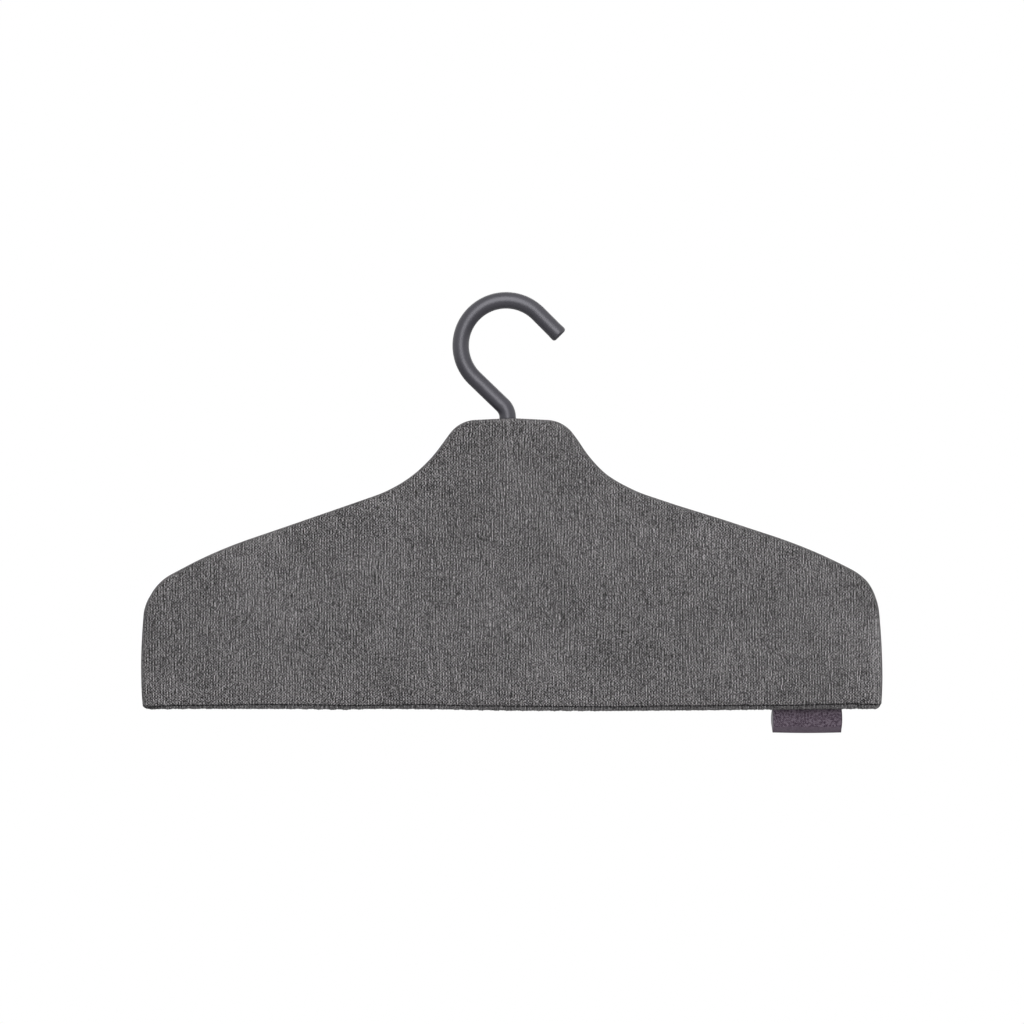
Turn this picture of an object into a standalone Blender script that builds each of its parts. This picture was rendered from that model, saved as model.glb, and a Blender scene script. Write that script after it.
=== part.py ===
"""A steaming hanger: a swivelling hook on a ribbed, padded board in a removable cloth cover.

Metres, +Z up, +X along the board towards the hook's open side, front face towards -Y.
The origin is the point of the hook that rests on a rail.
"""

import math

import bmesh
import bpy
from mathutils import Matrix

# Hook, a round rod with a powder coat
ROD_DIAMETER = 0.0100
CROOK_RADIUS = 0.0272  # to the rod's centreline
LEAN_DEGREES = 46  # the leg below the crook, from upright
TIP_DEGREES = 45  # where the crook ends and the straight tip starts
TIP_RUN = 0.0189
TIP_ROUND = 0.0014
STEM_BEND_RADIUS = 0.0105
STEM_OFFSET = 0.0010  # the stem stands this far right of the crook's centre
CROOK_TO_COVER = 0.0436  # from the crook's centre down to the cover's top

# Swivel: the rod's turned-down spigot, two washers and a lock nut
SPIGOT_DIAMETER = 0.0050
SPIGOT_CHAMFER = 0.0006
SPIGOT_PAST_NUT = 0.0015
WASHER_DIAMETER = 0.0092
WASHER_THICKNESS = 0.0010
NUT_ACROSS_FLATS = 0.0080
NUT_HEIGHT = 0.0036
NUT_COLLAR_HEIGHT = 0.0014
NUT_COLLAR_WALL = 0.0009
NUT_CHAMFER = 0.0005
NECK_BOSS_LENGTH = 0.0200
SPOT_FACE_DEPTH = 0.0006
SPOT_FACE_MARGIN = 0.0015  # past the washer
WINDOW_MARGIN = 0.0020  # past the nut's corners and the spigot's end

# Cover outline, from its top centre: shares of its half width and of its height, and fillet radii
COVER_HALF_WIDTH = 0.2230
COVER_HEIGHT = 0.1751
NECK_CORNER_SHARES = (0.141, 0.009)
NECK_FOOT_SHARES = (0.258, 0.220)
SHOULDER_SHARES = (0.809, 0.454)
SHOULDER_END_SHARES = (0.984, 0.576)
SIDE_BOW_SHARES = (1.000, 0.840)
BOTTOM_CORNER_SHARES = (0.994, 1.000)
NECK_TOP_RADIUS = 0.1000
NECK_CORNER_RADIUS = 0.0200
NECK_FOOT_RADIUS = 0.0775
SHOULDER_RADIUS = 0.2900
SHOULDER_END_RADIUS = 0.0334
SIDE_BOW_RADIUS = 0.3570

# Cover cloth
CLOTH_THICKNESS = 0.0008
COVER_RIM_RADIUS = 0.0040
COVER_SLACK = 0.0024  # all round the board
COVER_SLIDE_DEGREES = 30  # the loose cover has slid right and, by this angle, down
LIP_STEP = 0.0025  # the front panel's lip ends this far above the cover's bottom
HEM_HEIGHT = 0.0120
HEM_BITE = 0.0003  # the turned hem sinks this far into its panel
FLAP_HEIGHT = 0.0220
FLAP_FOLD_RADIUS = 0.0030
STEM_HOLE_GAP = 0.0006

# Woven loop label in the bottom seam
LABEL_WIDTH = 0.0420
LABEL_DROP = 0.0137
LABEL_TAIL = 0.0016
LABEL_TAPE = 0.0004
LABEL_BULGE = 0.0034
LABEL_FROM_SIDE = 0.0454  # from the cover's right-hand side in to the label's middle

# Board
CORE_THICKNESS = 0.0100
CORE_WEB = 0.0018
CORE_WALL = 0.0020
CORE_EDGE_ROUND = 0.0010
BOARD_CORNER_RADIUS = 0.0040
RIB_THICKNESS = 0.0014
RIB_PITCH = 0.0360
LEVEL_RIB_PITCH = 0.0400
PLATE_THICKNESS = 0.0014
PAD_THICKNESS = 0.0020
PAD_INSET = 0.0024
PAD_EDGE_ROUND = 0.0008

GAP = 0.0003  # between pieces that touch
OVERRUN = 0.0010  # by which a cutter passes what it cuts, and a joined solid enters its neighbour
MERGE = 0.00001
ARC_STEP_DEGREES = 7
ARC_SAG = 0.0001  # the most that a wide arc's chords stand off from it
ROUND_STEPS = 32
LABEL_STEPS = 10
ROD_RESOLUTION = 10
RIM_SEGMENTS = 4
EDGE_SEGMENTS = 2
FLAT_DEGREES = 30  # edges sharper than this are rounded or shaded sharp
FILLET_LIMIT_SHARE = 0.98  # the fillets at both ends of a side take at most this share of it

# Places that follow from the sizes
ROD_RADIUS = ROD_DIAMETER / 2
CROOK_Z = ROD_RADIUS - CROOK_RADIUS
STEM_X = STEM_OFFSET
COVER_EASE = CLOTH_THICKNESS + GAP + COVER_SLACK
BOARD_RISE = COVER_SLACK * math.sin(math.radians(COVER_SLIDE_DEGREES))
COVER_X = STEM_X + COVER_SLACK * math.cos(math.radians(COVER_SLIDE_DEGREES))
COVER_TOP_Z = CROOK_Z - CROOK_TO_COVER
COVER_BOTTOM_Z = COVER_TOP_Z - COVER_HEIGHT
LIP_Z = COVER_BOTTOM_Z + LIP_STEP
BOTTOM_CORNER_RADIUS = COVER_RIM_RADIUS + GAP
BOARD_HALF_WIDTH = COVER_HALF_WIDTH - COVER_EASE
BOARD_TOP_Z = COVER_TOP_Z - COVER_EASE + BOARD_RISE
BOARD_BOTTOM_Z = COVER_BOTTOM_Z + COVER_EASE + BOARD_RISE

CORE_FACE = CORE_THICKNESS / 2
PAD_INNER = CORE_FACE + GAP
PAD_OUTER = PAD_INNER + PAD_THICKNESS
CLOTH_INNER = PAD_OUTER + GAP
CLOTH_OUTER = CLOTH_INNER + CLOTH_THICKNESS
SEAM_Y = GAP / 2
WEB_INNER = CORE_FACE - CORE_WEB
PLATE_INNER = CORE_FACE - PLATE_THICKNESS
RIB_TOP = PLATE_INNER - GAP

SEAT_Z = BOARD_TOP_Z - SPOT_FACE_DEPTH
UPPER_WASHER_Z = SEAT_Z + GAP
SHOULDER_Z = UPPER_WASHER_Z + WASHER_THICKNESS + GAP
BOSS_BOTTOM_Z = SEAT_Z - NECK_BOSS_LENGTH
LOWER_WASHER_Z = BOSS_BOTTOM_Z - GAP - WASHER_THICKNESS
NUT_TOP_Z = LOWER_WASHER_Z - GAP
NUT_BOTTOM_Z = NUT_TOP_Z - NUT_HEIGHT - NUT_COLLAR_HEIGHT
SPIGOT_END_Z = NUT_BOTTOM_Z - SPIGOT_PAST_NUT
SPIGOT_BORE_RADIUS = SPIGOT_DIAMETER / 2 + GAP
NUT_CORNER = NUT_ACROSS_FLATS / 2 / math.cos(math.pi / 6)
WINDOW_HALF_WIDTH = NUT_CORNER + WINDOW_MARGIN
WINDOW_BOTTOM_Z = SPIGOT_END_Z - WINDOW_MARGIN
BOSS_HALF_WIDTH = WINDOW_HALF_WIDTH + CORE_WALL


def new_collection(name):
    collection = bpy.data.collections.new(name)
    bpy.context.scene.collection.children.link(collection)
    return collection


for leftover in list(bpy.data.objects):
    bpy.data.objects.remove(leftover)
PARTS = new_collection("steaming_hanger")
CUTTERS = new_collection("cutters")


def make_material(name, colour, roughness, metallic=0.0):
    material = bpy.data.materials.new(name)
    material.use_nodes = True
    shader = material.node_tree.nodes["Principled BSDF"]
    shader.inputs["Base Color"].default_value = (*colour, 1.0)
    shader.inputs["Roughness"].default_value = roughness
    shader.inputs["Metallic"].default_value = metallic
    material.diffuse_color = (*colour, 1.0)
    return material


COATED_STEEL = make_material("coated_steel", (0.075, 0.072, 0.085), 0.50)
BARE_STEEL = make_material("bare_steel", (0.58, 0.58, 0.60), 0.35, 1.0)
NYLON = make_material("nylon", (0.78, 0.77, 0.72), 0.45)
CORE_PLASTIC = make_material("core_plastic", (0.11, 0.11, 0.12), 0.55)
FELT = make_material("felt", (0.52, 0.51, 0.49), 0.95)
CLOTH = make_material("cloth", (0.137, 0.132, 0.135), 0.92)
LABEL_TAPE_CLOTH = make_material("label_tape", (0.085, 0.066, 0.086), 0.85)


def add(name, data, collection=PARTS):
    made = bpy.data.objects.new(name, data)
    collection.objects.link(made)
    return made


def finish(part, material, smooth=True):
    """Gives a part its material and, where it is round, its smooth shading."""
    part.data.materials.clear()
    part.data.materials.append(material)
    if smooth:
        part.data.shade_smooth()
        part.data.set_sharp_from_angle(angle=math.radians(FLAT_DEGREES))
    return part


def as_mesh(source, collection):
    """Replaces a curve by the welded mesh that it makes, in the same place."""
    bpy.context.view_layer.update()
    graph = bpy.context.evaluated_depsgraph_get()
    mesh = bpy.data.meshes.new_from_object(source.evaluated_get(graph))
    shape = bmesh.new()
    shape.from_mesh(mesh)
    bmesh.ops.remove_doubles(shape, verts=shape.verts, dist=MERGE)
    shape.to_mesh(mesh)
    shape.free()
    name = source.name
    place = source.matrix_world.copy()
    bpy.data.objects.remove(source)
    made = add(name, mesh, collection)
    made.data.transform(place)
    return made


def as_cutter(part):
    part.hide_render = True
    part.display_type = "WIRE"
    return part


def boolean(part, operation, other):
    modifier = part.modifiers.new(f"{operation} {other.name}", "BOOLEAN")
    modifier.operation = operation
    modifier.object = as_cutter(other)


def round_edges(part, width, segments):
    modifier = part.modifiers.new("rounded edges", "BEVEL")
    modifier.width = width
    modifier.segments = segments
    modifier.limit_method = "ANGLE"
    modifier.angle_limit = math.radians(FLAT_DEGREES)


def box(name, low, high, collection=CUTTERS):
    shape = bmesh.new()
    bmesh.ops.create_cube(shape, size=1.0)
    for vert in shape.verts:
        vert.co = [b if at > 0 else a for at, a, b in zip(vert.co, low, high)]
    mesh = bpy.data.meshes.new(name)
    shape.to_mesh(mesh)
    shape.free()
    return add(name, mesh, collection)


def turned(name, profile, place, steps, collection):
    """Turns a profile of (radius, height) points about its own Z; a ring's ends where it starts."""
    closed = profile[0] == profile[-1]
    points = profile[:-1] if closed else profile
    edges = [(i, i + 1) for i in range(len(points) - 1)]
    if closed:
        edges.append((len(points) - 1, 0))
    mesh = bpy.data.meshes.new(name)
    mesh.from_pydata([(radius, 0.0, height) for radius, height in points], edges, [])
    made = add(name, mesh, collection)
    screw = made.modifiers.new("turned", "SCREW")
    screw.steps = steps
    screw.render_steps = steps
    screw.use_merge_vertices = True
    screw.merge_threshold = MERGE
    made.matrix_world = place
    return made


def upright(x, z):
    return Matrix.Translation((x, 0.0, z))


# Outlines, in the plane of the board: clockwise corners (x, z, fillet radius)
def cover_corners(bottom_z=COVER_BOTTOM_Z, bottom_radius=BOTTOM_CORNER_RADIUS):
    """The cover's corners about its own centre, cut off level at bottom_z."""
    half = [(0.0, COVER_TOP_Z, NECK_TOP_RADIUS)]
    for shares, radius in (
        (NECK_CORNER_SHARES, NECK_CORNER_RADIUS),
        (NECK_FOOT_SHARES, NECK_FOOT_RADIUS),
        (SHOULDER_SHARES, SHOULDER_RADIUS),
        (SHOULDER_END_SHARES, SHOULDER_END_RADIUS),
        (SIDE_BOW_SHARES, SIDE_BOW_RADIUS),
        (BOTTOM_CORNER_SHARES, bottom_radius),
    ):
        half.append((shares[0] * COVER_HALF_WIDTH, COVER_TOP_Z - shares[1] * COVER_HEIGHT, radius))
    above, last = half[-2], half[-1]
    down = (bottom_z - above[1]) / (last[1] - above[1])
    half[-1] = (above[0] + down * (last[0] - above[0]), bottom_z, bottom_radius)
    return half + [(-x, z, radius) for x, z, radius in reversed(half[1:])]


def edge_direction(start, end):
    length = math.dist(start[:2], end[:2])
    return (end[0] - start[0]) / length, (end[1] - start[1]) / length


def inset(corners, distance):
    """The same outline with every side moved inwards by distance."""
    moved = []
    for i, (x, z, radius) in enumerate(corners):
        ux, uz = edge_direction(corners[i - 1], corners[i])
        vx, vz = edge_direction(corners[i], corners[(i + 1) % len(corners)])
        reach = distance / (1 + ux * vx + uz * vz)
        convex = ux * vz - uz * vx < 0
        radius = max(radius - distance, 0.0) if convex else radius + distance
        moved.append((x + (uz + vz) * reach, z - (ux + vx) * reach, radius))
    return moved


def rounded(corners, shift_x=0.0, shift_z=0.0):
    """Points of the outline, with an arc at each corner."""
    count = len(corners)
    sides = [math.dist(corners[i][:2], corners[(i + 1) % count][:2]) for i in range(count)]
    turns = []
    for i in range(count):
        ux, uz = edge_direction(corners[i - 1], corners[i])
        vx, vz = edge_direction(corners[i], corners[(i + 1) % count])
        turns.append(math.atan2(ux * vz - uz * vx, ux * vx + uz * vz))
    wanted = [radius * abs(math.tan(turn / 2)) for (_, _, radius), turn in zip(corners, turns)]
    points = []
    for i, (x, z, radius) in enumerate(corners):
        if wanted[i] == 0.0:
            points.append((x + shift_x, z + shift_z))
            continue
        before = FILLET_LIMIT_SHARE * sides[i - 1] / (wanted[i - 1] + wanted[i])
        after = FILLET_LIMIT_SHARE * sides[i] / (wanted[i] + wanted[(i + 1) % count])
        fit = min(1.0, before, after)
        tangent = wanted[i] * fit
        radius = radius * fit
        ux, uz = edge_direction(corners[i - 1], corners[i])
        side = math.copysign(1.0, turns[i])
        centre_x = x - ux * tangent - uz * radius * side
        centre_z = z - uz * tangent + ux * radius * side
        start = math.atan2(z - uz * tangent - centre_z, x - ux * tangent - centre_x)
        step = min(math.radians(ARC_STEP_DEGREES), 2 * math.acos(max(0.0, 1 - ARC_SAG / radius)))
        steps = max(1, math.ceil(abs(turns[i]) / step))
        for k in range(steps + 1):
            angle = start + turns[i] * k / steps
            along = centre_x + radius * math.cos(angle) + shift_x
            points.append((along, centre_z + radius * math.sin(angle) + shift_z))
    return points


def slab(name, outline, y_low, y_high, collection=CUTTERS):
    """A flat outline in the board's plane, with square edges, from y_low to y_high."""
    curve = bpy.data.curves.new(name, "CURVE")
    curve.dimensions = "2D"
    curve.fill_mode = "BOTH"
    curve.extrude = (y_high - y_low) / 2
    spline = curve.splines.new("POLY")
    spline.points.add(len(outline) - 1)
    spline.use_cyclic_u = True
    for point, (x, z) in zip(spline.points, outline):
        point.co = (x, z, 0.0, 1.0)
    made = as_mesh(add(name, curve, collection), collection)
    shape = bmesh.new()
    shape.from_mesh(made.data)
    flat = [f for f in shape.faces if abs(f.normal.z) > abs(f.normal.x) + abs(f.normal.y)]
    inner = [e for e in shape.edges if all(f in flat for f in e.link_faces)]
    bmesh.ops.dissolve_edges(shape, edges=inner)
    for vert in shape.verts:
        x, z, y = vert.co
        vert.co = (x, y_low if y > 0 else y_high, z)
    shape.to_mesh(made.data)
    shape.free()
    return made


def board_outline(distance):
    """The board's outline moved inwards by distance."""
    corners = cover_corners(COVER_BOTTOM_Z, BOARD_CORNER_RADIUS + COVER_EASE)
    return rounded(inset(corners, COVER_EASE + distance), STEM_X, BOARD_RISE)


# Hook
def hook_centreline():
    """(x, z, share of the rod's radius) from the stem's shoulder to the tip."""
    lean = math.radians(LEAN_DEGREES)
    tip = math.radians(TIP_DEGREES)
    run = (STEM_X + CROOK_RADIUS * math.cos(lean)) / math.sin(lean)
    corner_z = CROOK_Z - CROOK_RADIUS * math.sin(lean) - run * math.cos(lean)
    bend_z = corner_z - STEM_BEND_RADIUS * math.tan(lean / 2)
    line = [(STEM_X, SHOULDER_Z, 1.0)]
    bend_steps = math.ceil(LEAN_DEGREES / ARC_STEP_DEGREES)
    for k in range(bend_steps + 1):
        angle = lean * k / bend_steps
        x = STEM_X - STEM_BEND_RADIUS * (1 - math.cos(angle))
        line.append((x, bend_z + STEM_BEND_RADIUS * math.sin(angle), 1.0))
    turn = math.pi + lean - tip
    crook_steps = math.ceil(turn / math.radians(ARC_STEP_DEGREES))
    for k in range(crook_steps + 1):
        angle = math.pi + lean - turn * k / crook_steps
        line.append((CROOK_RADIUS * math.cos(angle), CROOK_Z + CROOK_RADIUS * math.sin(angle), 1.0))
    end_x, end_z, _ = line[-1]
    for k in range(RIM_SEGMENTS + 1):
        angle = math.pi / 2 * k / RIM_SEGMENTS
        along = TIP_RUN - TIP_ROUND * (1 - math.sin(angle))
        share = 1 - TIP_ROUND * (1 - math.cos(angle)) / ROD_RADIUS
        line.append((end_x + along * math.sin(tip), end_z - along * math.cos(tip), share))
    return line


def make_hook():
    curve = bpy.data.curves.new("hook", "CURVE")
    curve.dimensions = "3D"
    curve.bevel_depth = ROD_RADIUS
    curve.bevel_resolution = ROD_RESOLUTION
    curve.use_fill_caps = True
    line = hook_centreline()
    spline = curve.splines.new("POLY")
    spline.points.add(len(line) - 1)
    for point, (x, z, share) in zip(spline.points, line):
        point.co = (x, 0.0, z, 1.0)
        point.radius = share
    hook = as_mesh(add("hook", curve), PARTS)
    radius = SPIGOT_DIAMETER / 2
    profile = [
        (0.0, SHOULDER_Z + OVERRUN - SPIGOT_END_Z),
        (radius, SHOULDER_Z + OVERRUN - SPIGOT_END_Z),
        (radius, SPIGOT_CHAMFER),
        (radius - SPIGOT_CHAMFER, 0.0),
        (0.0, 0.0),
    ]
    spigot = turned("spigot", profile, upright(STEM_X, SPIGOT_END_Z), ROUND_STEPS, CUTTERS)
    boolean(hook, "UNION", spigot)
    return finish(hook, COATED_STEEL)


def make_washer(name, z, material):
    inner, outer = SPIGOT_BORE_RADIUS, WASHER_DIAMETER / 2
    top = WASHER_THICKNESS
    profile = [(inner, top), (outer, top), (outer, 0.0), (inner, 0.0), (inner, top)]
    return finish(turned(name, profile, upright(STEM_X, z), ROUND_STEPS, PARTS), material)


def make_lock_nut():
    """A hexagon with its corners turned off, and the collar that grips the thread below it."""
    corner = NUT_CORNER
    collar = SPIGOT_BORE_RADIUS + NUT_COLLAR_WALL
    shape = bmesh.new()
    bmesh.ops.create_cone(
        shape, cap_ends=True, segments=6, radius1=corner, radius2=corner, depth=NUT_HEIGHT + NUT_COLLAR_HEIGHT
    )
    mesh = bpy.data.meshes.new("lock_nut")
    shape.to_mesh(mesh)
    shape.free()
    nut = add("lock_nut", mesh)
    nut.matrix_world = upright(STEM_X, (NUT_TOP_Z + NUT_BOTTOM_Z) / 2)
    total = NUT_HEIGHT + NUT_COLLAR_HEIGHT
    blank = [
        (0.0, total + OVERRUN),
        (corner - NUT_CHAMFER - OVERRUN, total + OVERRUN),
        (corner + OVERRUN, total - NUT_CHAMFER - OVERRUN),
        (corner + OVERRUN, NUT_COLLAR_HEIGHT + NUT_CHAMFER + OVERRUN),
        (corner - NUT_CHAMFER, NUT_COLLAR_HEIGHT),
        (collar, NUT_COLLAR_HEIGHT),
        (collar, -OVERRUN),
        (0.0, -OVERRUN),
    ]
    boolean(nut, "INTERSECT", turned("nut_blank", blank, upright(STEM_X, NUT_BOTTOM_Z), ROUND_STEPS, CUTTERS))
    boolean(nut, "DIFFERENCE", bore_cutter("nut_bore", NUT_BOTTOM_Z - OVERRUN, NUT_TOP_Z + OVERRUN))
    return finish(nut, BARE_STEEL, smooth=False)


def bore_cutter(name, z_low, z_high):
    top = z_high - z_low
    profile = [(0.0, top), (SPIGOT_BORE_RADIUS, top), (SPIGOT_BORE_RADIUS, 0.0), (0.0, 0.0)]
    return turned(name, profile, upright(STEM_X, z_low), ROUND_STEPS, CUTTERS)


# Board
def make_ribs():
    """Upright and level ribs at even pitches, trimmed to the board's hollow."""
    foot = -WEB_INNER - OVERRUN
    half = RIB_THICKNESS / 2
    left, right = STEM_X - BOARD_HALF_WIDTH, STEM_X + BOARD_HALF_WIDTH
    ribs = box("ribs", (STEM_X - half, foot, BOARD_BOTTOM_Z), (STEM_X + half, RIB_TOP, BOARD_TOP_Z))
    for k in range(1, math.floor(BOARD_HALF_WIDTH / RIB_PITCH) + 1):
        for x in (STEM_X - k * RIB_PITCH, STEM_X + k * RIB_PITCH):
            low, high = (x - half, foot, BOARD_BOTTOM_Z), (x + half, RIB_TOP, BOARD_TOP_Z)
            boolean(ribs, "UNION", box("upright_rib", low, high))
    for k in range(1, math.floor((WINDOW_BOTTOM_Z - BOARD_BOTTOM_Z) / LEVEL_RIB_PITCH) + 1):
        z = BOARD_BOTTOM_Z + k * LEVEL_RIB_PITCH
        boolean(ribs, "UNION", box("level_rib", (left, foot, z - half), (right, RIB_TOP, z + half)))
    boolean(ribs, "INTERSECT", slab("rib_limit", board_outline(CORE_WALL / 2), -CORE_FACE, CORE_FACE))
    return ribs


def window_cutter(name):
    """The opening below the neck boss, through which a spanner reaches the nut."""
    low = (STEM_X - WINDOW_HALF_WIDTH, -CLOTH_OUTER, WINDOW_BOTTOM_Z)
    return box(name, low, (STEM_X + WINDOW_HALF_WIDTH, CLOTH_OUTER, BOSS_BOTTOM_Z))


def make_core():
    """The moulded board: a front web with a rim, ribs and the boss that the spigot turns in."""
    core = slab("core", board_outline(0.0), -CORE_FACE, CORE_FACE, PARTS)
    round_edges(core, CORE_EDGE_ROUND, EDGE_SEGMENTS)
    hollow = slab("core_hollow", board_outline(CORE_WALL), -WEB_INNER, CORE_FACE + OVERRUN)
    boolean(core, "DIFFERENCE", hollow)
    boolean(core, "UNION", make_ribs())
    boss_top_z = BOARD_TOP_Z - (CORE_EDGE_ROUND + CORE_WALL) / 2
    low = (STEM_X - BOSS_HALF_WIDTH, -WEB_INNER - OVERRUN, WINDOW_BOTTOM_Z - CORE_WALL)
    boolean(core, "UNION", box("neck_boss", low, (STEM_X + BOSS_HALF_WIDTH, CORE_FACE, boss_top_z)))
    boolean(core, "DIFFERENCE", window_cutter("core_window"))
    half = WASHER_DIAMETER / 2 + SPOT_FACE_MARGIN
    low = (STEM_X - half, -CLOTH_OUTER, SEAT_Z)
    boolean(core, "DIFFERENCE", box("spot_face", low, (STEM_X + half, CLOTH_OUTER, COVER_TOP_Z)))
    boolean(core, "DIFFERENCE", bore_cutter("spigot_bore", BOSS_BOTTOM_Z - OVERRUN, COVER_TOP_Z))
    return finish(core, CORE_PLASTIC)


def make_back_plate():
    """Closes the ribbed side, flush inside the core's rim, and is notched round the neck boss."""
    plate = slab("back_plate", board_outline(CORE_WALL + GAP), PLATE_INNER, CORE_FACE, PARTS)
    half = BOSS_HALF_WIDTH + GAP
    low = (STEM_X - half, 0.0, WINDOW_BOTTOM_Z - CORE_WALL - GAP)
    boolean(plate, "DIFFERENCE", box("plate_notch", low, (STEM_X + half, CLOTH_OUTER, COVER_TOP_Z)))
    return finish(plate, CORE_PLASTIC)


def make_pads():
    """Felt on both faces of the board. The front one stops above the cover's tucked flap."""
    outline = board_outline(PAD_INSET)
    back = slab("back_pad", outline, PAD_INNER, PAD_OUTER, PARTS)
    front = slab("front_pad", outline, -PAD_OUTER, -PAD_INNER, PARTS)
    low = (COVER_X - COVER_HALF_WIDTH, -CLOTH_OUTER, COVER_BOTTOM_Z)
    high = (COVER_X + COVER_HALF_WIDTH, 0.0, COVER_BOTTOM_Z + FLAP_HEIGHT + GAP)
    boolean(front, "DIFFERENCE", box("flap_room", low, high))
    for pad in (front, back):
        boolean(pad, "DIFFERENCE", window_cutter(f"{pad.name}_window"))
        round_edges(pad, PAD_EDGE_ROUND, EDGE_SEGMENTS)
        finish(pad, FELT)
    return front, back


# Cover
def make_tray(name, outline, face_y, seam_y, wall_below):
    """Half of the cover: a flat panel whose rim turns towards the seam, as cloth of one thickness."""
    shape = bmesh.new()
    ring = [shape.verts.new((x, face_y, z)) for x, z in outline]
    edges = [shape.edges.new((ring[i - 1], ring[i])) for i in range(len(ring))]
    bmesh.ops.contextual_create(shape, geom=edges)
    lowest = min(z for _, z in outline) + MERGE
    rim = [e for e in edges if wall_below or max(v.co.z for v in e.verts) > lowest]
    made = bmesh.ops.extrude_edge_only(shape, edges=rim)["geom"]
    turned_in = [v for v in made if isinstance(v, bmesh.types.BMVert)]
    bmesh.ops.translate(shape, verts=turned_in, vec=(0.0, seam_y - face_y, 0.0))
    bmesh.ops.recalc_face_normals(shape, faces=shape.faces)
    if next(f for f in shape.faces if len(f.verts) > 4).normal.y * face_y < 0:
        bmesh.ops.reverse_faces(shape, faces=shape.faces)
    mesh = bpy.data.meshes.new(name)
    shape.to_mesh(mesh)
    shape.free()
    tray = add(name, mesh)
    round_edges(tray, COVER_RIM_RADIUS, RIM_SEGMENTS)
    cloth = tray.modifiers.new("cloth thickness", "SOLIDIFY")
    cloth.thickness = CLOTH_THICKNESS
    cloth.offset = -1.0
    cloth.use_even_offset = True
    return tray


def stem_hole(name):
    radius = ROD_RADIUS + STEM_HOLE_GAP
    depth = 2 * COVER_EASE
    profile = [(0.0, depth), (radius, depth), (radius, 0.0), (0.0, 0.0)]
    return turned(name, profile, upright(STEM_X, COVER_TOP_Z - COVER_EASE), ROUND_STEPS, CUTTERS)


def label_slot(name):
    half_width = LABEL_WIDTH / 2 + GAP
    half_depth = LABEL_TAPE + GAP
    x = COVER_X + COVER_HALF_WIDTH - LABEL_FROM_SIDE
    low = (x - half_width, -half_depth, COVER_BOTTOM_Z - OVERRUN)
    high = (x + half_width, half_depth, COVER_BOTTOM_Z + COVER_EASE)
    return box(name, low, high)


def make_cover_front():
    """The front panel, open below, with its lip turned up inside as a hem."""
    outline = rounded(cover_corners(LIP_Z, 0.0), COVER_X)
    panel = make_tray("cover_front", outline, -CLOTH_OUTER, -SEAM_Y, wall_below=False)
    half = COVER_HALF_WIDTH - COVER_RIM_RADIUS - CLOTH_THICKNESS
    low = (COVER_X - half, -CLOTH_INNER - HEM_BITE, LIP_Z)
    high = (COVER_X + half, -CLOTH_INNER + CLOTH_THICKNESS, LIP_Z + HEM_HEIGHT)
    boolean(panel, "UNION", box("hem", low, high))
    boolean(panel, "DIFFERENCE", stem_hole("front_stem_hole"))
    return finish(panel, CLOTH)


def make_cover_back():
    """The back panel, whose rim also runs under the board as far as the bottom seam."""
    outline = rounded(cover_corners(), COVER_X)
    panel = make_tray("cover_back", outline, CLOTH_OUTER, SEAM_Y, wall_below=True)
    boolean(panel, "DIFFERENCE", stem_hole("back_stem_hole"))
    boolean(panel, "DIFFERENCE", label_slot("back_label_slot"))
    return finish(panel, CLOTH)


def make_closure_flap():
    """The flap sewn to the bottom seam, folded up in front of the board and tucked behind the front lip."""
    front_y = -PAD_INNER - CLOTH_THICKNESS
    half = BOTTOM_CORNER_SHARES[0] * COVER_HALF_WIDTH - BOTTOM_CORNER_RADIUS
    section = [(-SEAM_Y, COVER_BOTTOM_Z), (front_y, COVER_BOTTOM_Z), (front_y, COVER_BOTTOM_Z + FLAP_HEIGHT)]
    shape = bmesh.new()
    line = [shape.verts.new((COVER_X - half, y, z)) for y, z in section]
    edges = [shape.edges.new(pair) for pair in zip(line, line[1:])]
    made = bmesh.ops.extrude_edge_only(shape, edges=edges)["geom"]
    far_side = [v for v in made if isinstance(v, bmesh.types.BMVert)]
    bmesh.ops.translate(shape, verts=far_side, vec=(2 * half, 0.0, 0.0))
    bmesh.ops.recalc_face_normals(shape, faces=shape.faces)
    shape.faces.ensure_lookup_table()
    if shape.faces[0].normal.z > 0:
        bmesh.ops.reverse_faces(shape, faces=shape.faces)
    mesh = bpy.data.meshes.new("closure_flap")
    shape.to_mesh(mesh)
    shape.free()
    flap = add("closure_flap", mesh)
    round_edges(flap, FLAP_FOLD_RADIUS, RIM_SEGMENTS)
    cloth = flap.modifiers.new("cloth thickness", "SOLIDIFY")
    cloth.thickness = CLOTH_THICKNESS
    cloth.offset = -1.0
    cloth.use_even_offset = True
    boolean(flap, "DIFFERENCE", label_slot("flap_label_slot"))
    return finish(flap, CLOTH)


def drop_shape(half_width, height, top_z, steps):
    """A hanging loop seen from its end: pointed at the top, round at the bottom, as (y, z) points."""
    points = []
    for k in range(1, 2 * steps):
        angle = math.pi * k / steps
        y = half_width * math.sin(angle) * math.sin(angle / 2)
        points.append((y, top_z - height * (1 - math.cos(angle)) / 2))
    return points


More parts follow.
